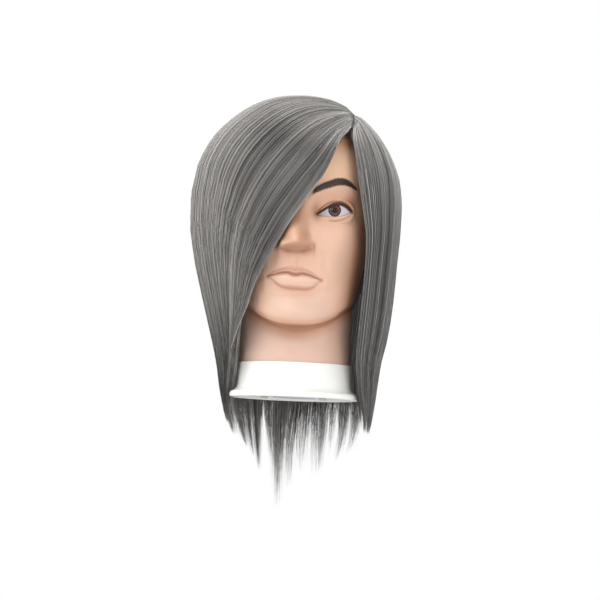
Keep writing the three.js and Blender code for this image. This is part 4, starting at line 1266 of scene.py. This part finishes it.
def build_screw(number):
    """A pan-head screw, head down: domed, with a cross recess."""
    rows, segments = 26, 96
    around = math.pi / 4 + (number - 1) * math.pi / 2
    radius, turn = polar(np.linspace(0, SCREW_HEAD, rows), segments)
    x, y = radius * np.cos(turn), radius * np.sin(turn)
    z = 0.6 + 0.75 * (radius / SCREW_HEAD) ** 3
    across, reach = np.minimum(np.abs(x), np.abs(y)), np.maximum(np.abs(x), np.abs(y))
    z = z + 1.1 * fall(0.42, 0.62, across) * fall(1.9, 2.2, reach)
    head = np.stack([x, y, z], -1).reshape(-1, 3)
    # rings of the shank: radius, z
    rings = [(SCREW_HEAD, 2.5), (SCREW_SHANK, 2.5), (SCREW_SHANK, 4)]
    rings += [(SCREW_SHANK - 0.35 * (i % 2), 4 + i * 0.5) for i in range(26)]
    rings += [(0.9, 17.6), (0.02, 18.5)]
    turn = np.linspace(0, TAU, segments, endpoint=False)
    shank = [np.stack([r * np.cos(turn), r * np.sin(turn), np.full(segments, z)], -1) for r, z in rings]
    centre = np.array([SCREW_CIRCLE * math.cos(around), SCREW_CIRCLE * math.sin(around), 0])
    points = np.concatenate([head, *shank]) + centre
    count = len(points)
    piece = make_mesh(f"screw_{number}", np.concatenate([points, [points[-segments:].mean(0)]]),
                      grid_quads(rows + len(rings), segments, flip=True),
                      fan(count - segments, segments, count, flip=True))
    face_outward(piece)
    mount(piece, steel, "screw_steel", f"base_screw_{number}")


for number in range(1, 5):
    build_screw(number)

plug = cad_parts["neck_plug"]
plug.data.materials.clear()
plug.data.materials.append(plug_mat)


def build_foam():
    """The foam filling, kept well inside the skin."""
    rings, spokes = 60, 96
    turn = np.linspace(-np.pi, np.pi, spokes, endpoint=False)
    grid = np.meshgrid(np.linspace(1.0, HEAD_TOP, rings), turn, indexing="ij")
    points = head_surface(*grid, detail=False)
    centre = np.array([0.0, 12.0, 165.0])
    points = centre + (points - centre) * np.array([0.80, 0.78, 0.86])
    points[0, :, 2] = 58
    points = points.reshape(-1, 3)
    count = len(points)
    ends = [points[:spokes].mean(0)], [points[-spokes:].mean(0) + np.array([0, 0, 0.3])]
    tris = [fan(0, spokes, count, flip=True), fan(count - spokes, spokes, count + 1)]
    piece = make_mesh("foam_filling", np.concatenate([points, *ends]),
                      grid_quads(rings, spokes), np.concatenate(tris))
    face_outward(piece)
    mount(piece, foam_mat, "foam", "foam_core")


build_foam()

# ================================================================== build: head and eyes
skin = skin_material()
mount(build_head(), skin, "skin", "head_skin")
SIDES = (("left", 1), ("right", -1))
for label, side in SIDES:
    mount(build_ear(f"ear_{label}", side), skin, "skin")

iris_mat, cornea_mat = iris_material(), cornea_material()
for label, side in SIDES:
    mount(build_eye_white(side, label), eye_white_mat, "eye_white", f"eye_white_{label}")
    mount(build_iris(side, label), iris_mat, "iris", f"eye_iris_{label}")
    mount(build_cornea(side, label), cornea_mat, "cornea", f"eye_cornea_{label}")


# ================================================================== build: scalp and under layer
def scalp_shell(name, height, thick, front_z, groove=0.0):
    """A cap over the back and top of the head, above a slanting hairline."""
    rings, spokes = 90, 180
    t = np.linspace(0, 1, rings)
    turn = np.linspace(-np.pi, np.pi, spokes, endpoint=False)
    # lower edge: high over the forehead, down past the ears to the nape
    edge = front_z + (84 - front_z) * rise(0.9, 2.1, np.abs(turn))
    stations = np.linspace(3.0, HEAD_TOP, 400)
    lowest = np.empty(spokes)
    for i, angle in enumerate(turn):
        column = head_surface(stations, np.full_like(stations, angle), detail=False)
        lowest[i] = np.interp(edge[i], column[:, 2], stations)
    station = lowest[None] + (HEAD_TOP - lowest[None]) * t[:, None]
    turn = np.repeat(turn[None], rings, 0)
    skull = head_surface(station, turn, detail=False)
    normal = np.cross(np.roll(skull, -1, 1) - np.roll(skull, 1, 1), np.gradient(skull, axis=0))
    normal = outward(normal, skull - np.array([0, 5, 170]))
    furrow = groove * (np.sin(turn * 150) * 0.6 + np.sin(turn * 97 + 2 * np.sin(station)) * 0.4)
    thin = np.clip(rise(0, 0.05, t), 0.12, 1)[:, None]
    half = thick / 2
    outer = skull + normal * (height - half + half * thin + furrow * thin)[..., None]
    inner = skull + normal * (height - half - half * thin)[..., None]
    count = rings * spokes
    last = count - spokes
    points = np.concatenate([
        outer.reshape(-1, 3), inner.reshape(-1, 3), [outer[-1].mean(0)], [inner[-1].mean(0)],
    ])
    quads = np.concatenate([
        grid_quads(rings, spokes), grid_quads(rings, spokes, start=count, flip=True),
        np.roll(band(count, 0, spokes), 2, axis=1),
    ])
    tris = [fan(last, spokes, 2 * count), fan(count + last, spokes, 2 * count + 1, flip=True)]
    uv = np.stack([turn * 1.9, station * 0.05], -1).reshape(-1, 2)
    uv = np.concatenate([uv, uv, [[0, 0], [0, 0]]])
    piece = make_mesh(name, points, quads, np.concatenate(tris), uv=uv)
    face_outward(piece, weld=False)
    return piece


mass_mat = mass_material()
scalp = scalp_shell("scalp", height=2.4, thick=1.6, front_z=256)
mount(scalp, scalp_mat, "scalp", "scalp_cap")
under = scalp_shell("under_hair", height=6.3, thick=2.6, front_z=262, groove=0.35)
mount(under, mass_mat, "hair_dark", "hair_under_layer")

# ================================================================== build: hair
hair_mat = hair_material("hair_strands")
# the inner strands' copy of the material: a tenth darker, as painted shade, and glowing faintly, as painted
# light scattered inside the hair
inner_mat = hair_material("hair_strands_inner", gain=0.9, glow=0.2)

# label, range across the field, flap body, CAD piece it stands for, start and end of the bend,
# how far along the mass reaches, number of strands
GROUPS = [
    ("fringe", 0.0, 2.35, "fringe", "hair_fringe", (36, -20, 284), (-14, -48, 246), 0.80, 4700),
    ("right_side", 2.35, 3.95, "side_right", "hair_side_right", (-28, 0, 292), (-76, 0, 240), 0.82, 2700),
    ("back", 3.95, 8.25, "back", "hair_back", (0, 46, 292), (0, 84, 244), 0.74, 4700),
    ("left_side", 8.25, 11.0, "side_left", "hair_side_left", (50, 0, 274), (80, 0, 232), 0.82, 3500),
]
PER_PIECE = 1560


def build_group(index, label, first, last, body, node, bend_start, bend_end, mass_end, count):
    """The mass of one flap of hair, its strands, and strands on its inside drawn with a darker, glowing
    copy of the strand material: painted shade and painted light.
    """

    def hang(piece, material, slot):
        piece.data.materials.append(material)
        start, end = (tuple(to_row(point).tolist()) for point in (bend_start, bend_end))
        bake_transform(piece)

    mass_range = max(0.62, first - 0.05), min(EDGE - 0.5, last + 0.05)
    mass = mass_mesh(f"hair_{label}_mass", *mass_range, mass_end)
    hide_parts(node)
    hang(mass, mass_mat, "hair_dark")
    lines, radii, tones, root = make_strands(count, first, last, 100 + index, depth=(0.0, 4.6))
    order = np.argsort(root, kind="stable")
    parts = int(math.ceil(count / PER_PIECE))
    for i in range(parts):
        pick = order[i::parts]
        piece = strands_mesh(f"hair_{label}_{i + 1}", lines[pick], radii[pick], tones[pick])
        hang(piece, hair_mat, "hair_grey")
    # their tones are lifted by 0.35: painted light against the darkening with depth
    inner = make_strands(
        int(count * 0.22), max(0.75, first), min(EDGE - 0.25, last), 200 + index,
        depth=(7.0, 10.0), tone_shift=0.35, radius=0.24)
    hang(strands_mesh(f"hair_{label}_inner", *inner[:3]), inner_mat, "hair_dark")


for index, group in enumerate(GROUPS):
    build_group(index, *group)

# short lengths that stay on the crown, either side of the parting
mount(strands_mesh("hair_parting_roots", *tuft_strands(1500, seed=310)), hair_mat, "hair_grey")
crown = make_strands(1500, 0.0, EDGE, seed=300, depth=(0.3, 3.4), reach=0.26, tone_shift=0.02)
mount(strands_mesh("hair_crown_strands", *crown[:3]), hair_mat, "hair_grey", "hair_crown")

# ================================================================== stage, light, camera
FLOOR_HALF, FLOOR_Z = 6000, -185
CORNERS = ((-1, -1), (1, -1), (1, 1), (-1, 1))
floor = make_mesh(
    "floor", [(x * FLOOR_HALF, y * FLOOR_HALF, FLOOR_Z) for x, y in CORNERS], [[0, 1, 2, 3]])
floor.data.materials.append(floor_material())

# the world is white to the camera and a little dimmer as light
world = bpy.data.worlds.new("studio")
bpy.context.scene.world = world
world.use_nodes = True
tree = world.node_tree
camera_ray = add(tree, "ShaderNodeLightPath").outputs["Is Camera Ray"]
strength = remap(tree, camera_ray, low=0.72, high=1.0)
feed(tree, tree.nodes["Background"], {"Color": (1, 1, 1, 1), "Strength": strength})


def area(name, at, target, size, power, colour=(1, 1, 1)):
    """A rectangular light, in metres and watts, unseen by the camera."""
    data = bpy.data.lights.new(name, "AREA")
    data.shape = "RECTANGLE"
    data.size, data.size_y = size
    data.energy = power
    data.color = colour
    light = bpy.data.objects.new(name, data)
    bpy.context.scene.collection.objects.link(light)
    light.location = at
    light.rotation_mode = "QUATERNION"
    light.rotation_quaternion = (Vector(target) - Vector(at)).to_track_quat("-Z", "Y")
    light.visible_camera = False
    return light


area("key", at=(-0.75, -1.25, 0.85), target=(0, 0, 0.02), size=(0.9, 0.9), power=8.0,
     colour=(1.0, 0.985, 0.96))
fill = area("fill", at=(0.72, -1.5, 0.1), target=(0, 0, 0.0), size=(0.9, 1.2), power=12.0)
fill.visible_glossy = False
catch = area("catch", at=(0.10, -2.0, 0.62), target=(0, 0, 0.05), size=(0.07, 0.07), power=2.2)
catch.visible_diffuse = False
area("under", at=(0.0, -0.55, -0.26), target=(0, 0, -0.10), size=(0.8, 0.5), power=0.14)
area("top", at=(-0.25, 0.0, 1.3), target=(0, 0, 0.1), size=(1.1, 1.1), power=19.0)
area("rim_left", at=(-1.3, 0.0, 0.6), target=(0, 0, 0.05), size=(0.7, 1.0), power=9.5)
area("rim_right", at=(1.1, 0.9, 0.5), target=(0, 0, 0.05), size=(0.7, 1.0), power=6.0)

# The camera looks slightly upwards and is rolled a little.
DISTANCE, VIEW_WIDTH = 2.2, 0.576  # metres; the width is what it sees at the target
SENSOR = 36
TILT, ROLL = math.radians(4.5), math.radians(2.3)
target = np.array([0.00239, 0.0, 0.0952 + UNDERSIDE])
forward = np.array([0, math.cos(TILT), math.sin(TILT)])
level_up = np.array([0, -math.sin(TILT), math.cos(TILT)])
level_right = np.array([1.0, 0, 0])
right = math.cos(ROLL) * level_right + math.sin(ROLL) * level_up
up = math.cos(ROLL) * level_up - math.sin(ROLL) * level_right
lens = bpy.data.cameras.new("camera")
camera = bpy.data.objects.new("camera", lens)
bpy.context.scene.collection.objects.link(camera)
pose = Matrix.Identity(4)
for i, row in enumerate(zip(right, up, -forward, target - forward * DISTANCE)):
    pose[i][:] = row
camera.matrix_world = pose
lens.sensor_width = SENSOR
lens.lens = SENSOR * DISTANCE / VIEW_WIDTH
lens.clip_end = 50
bpy.context.scene.camera = camera
bpy.context.scene.view_settings.view_transform = "Standard"
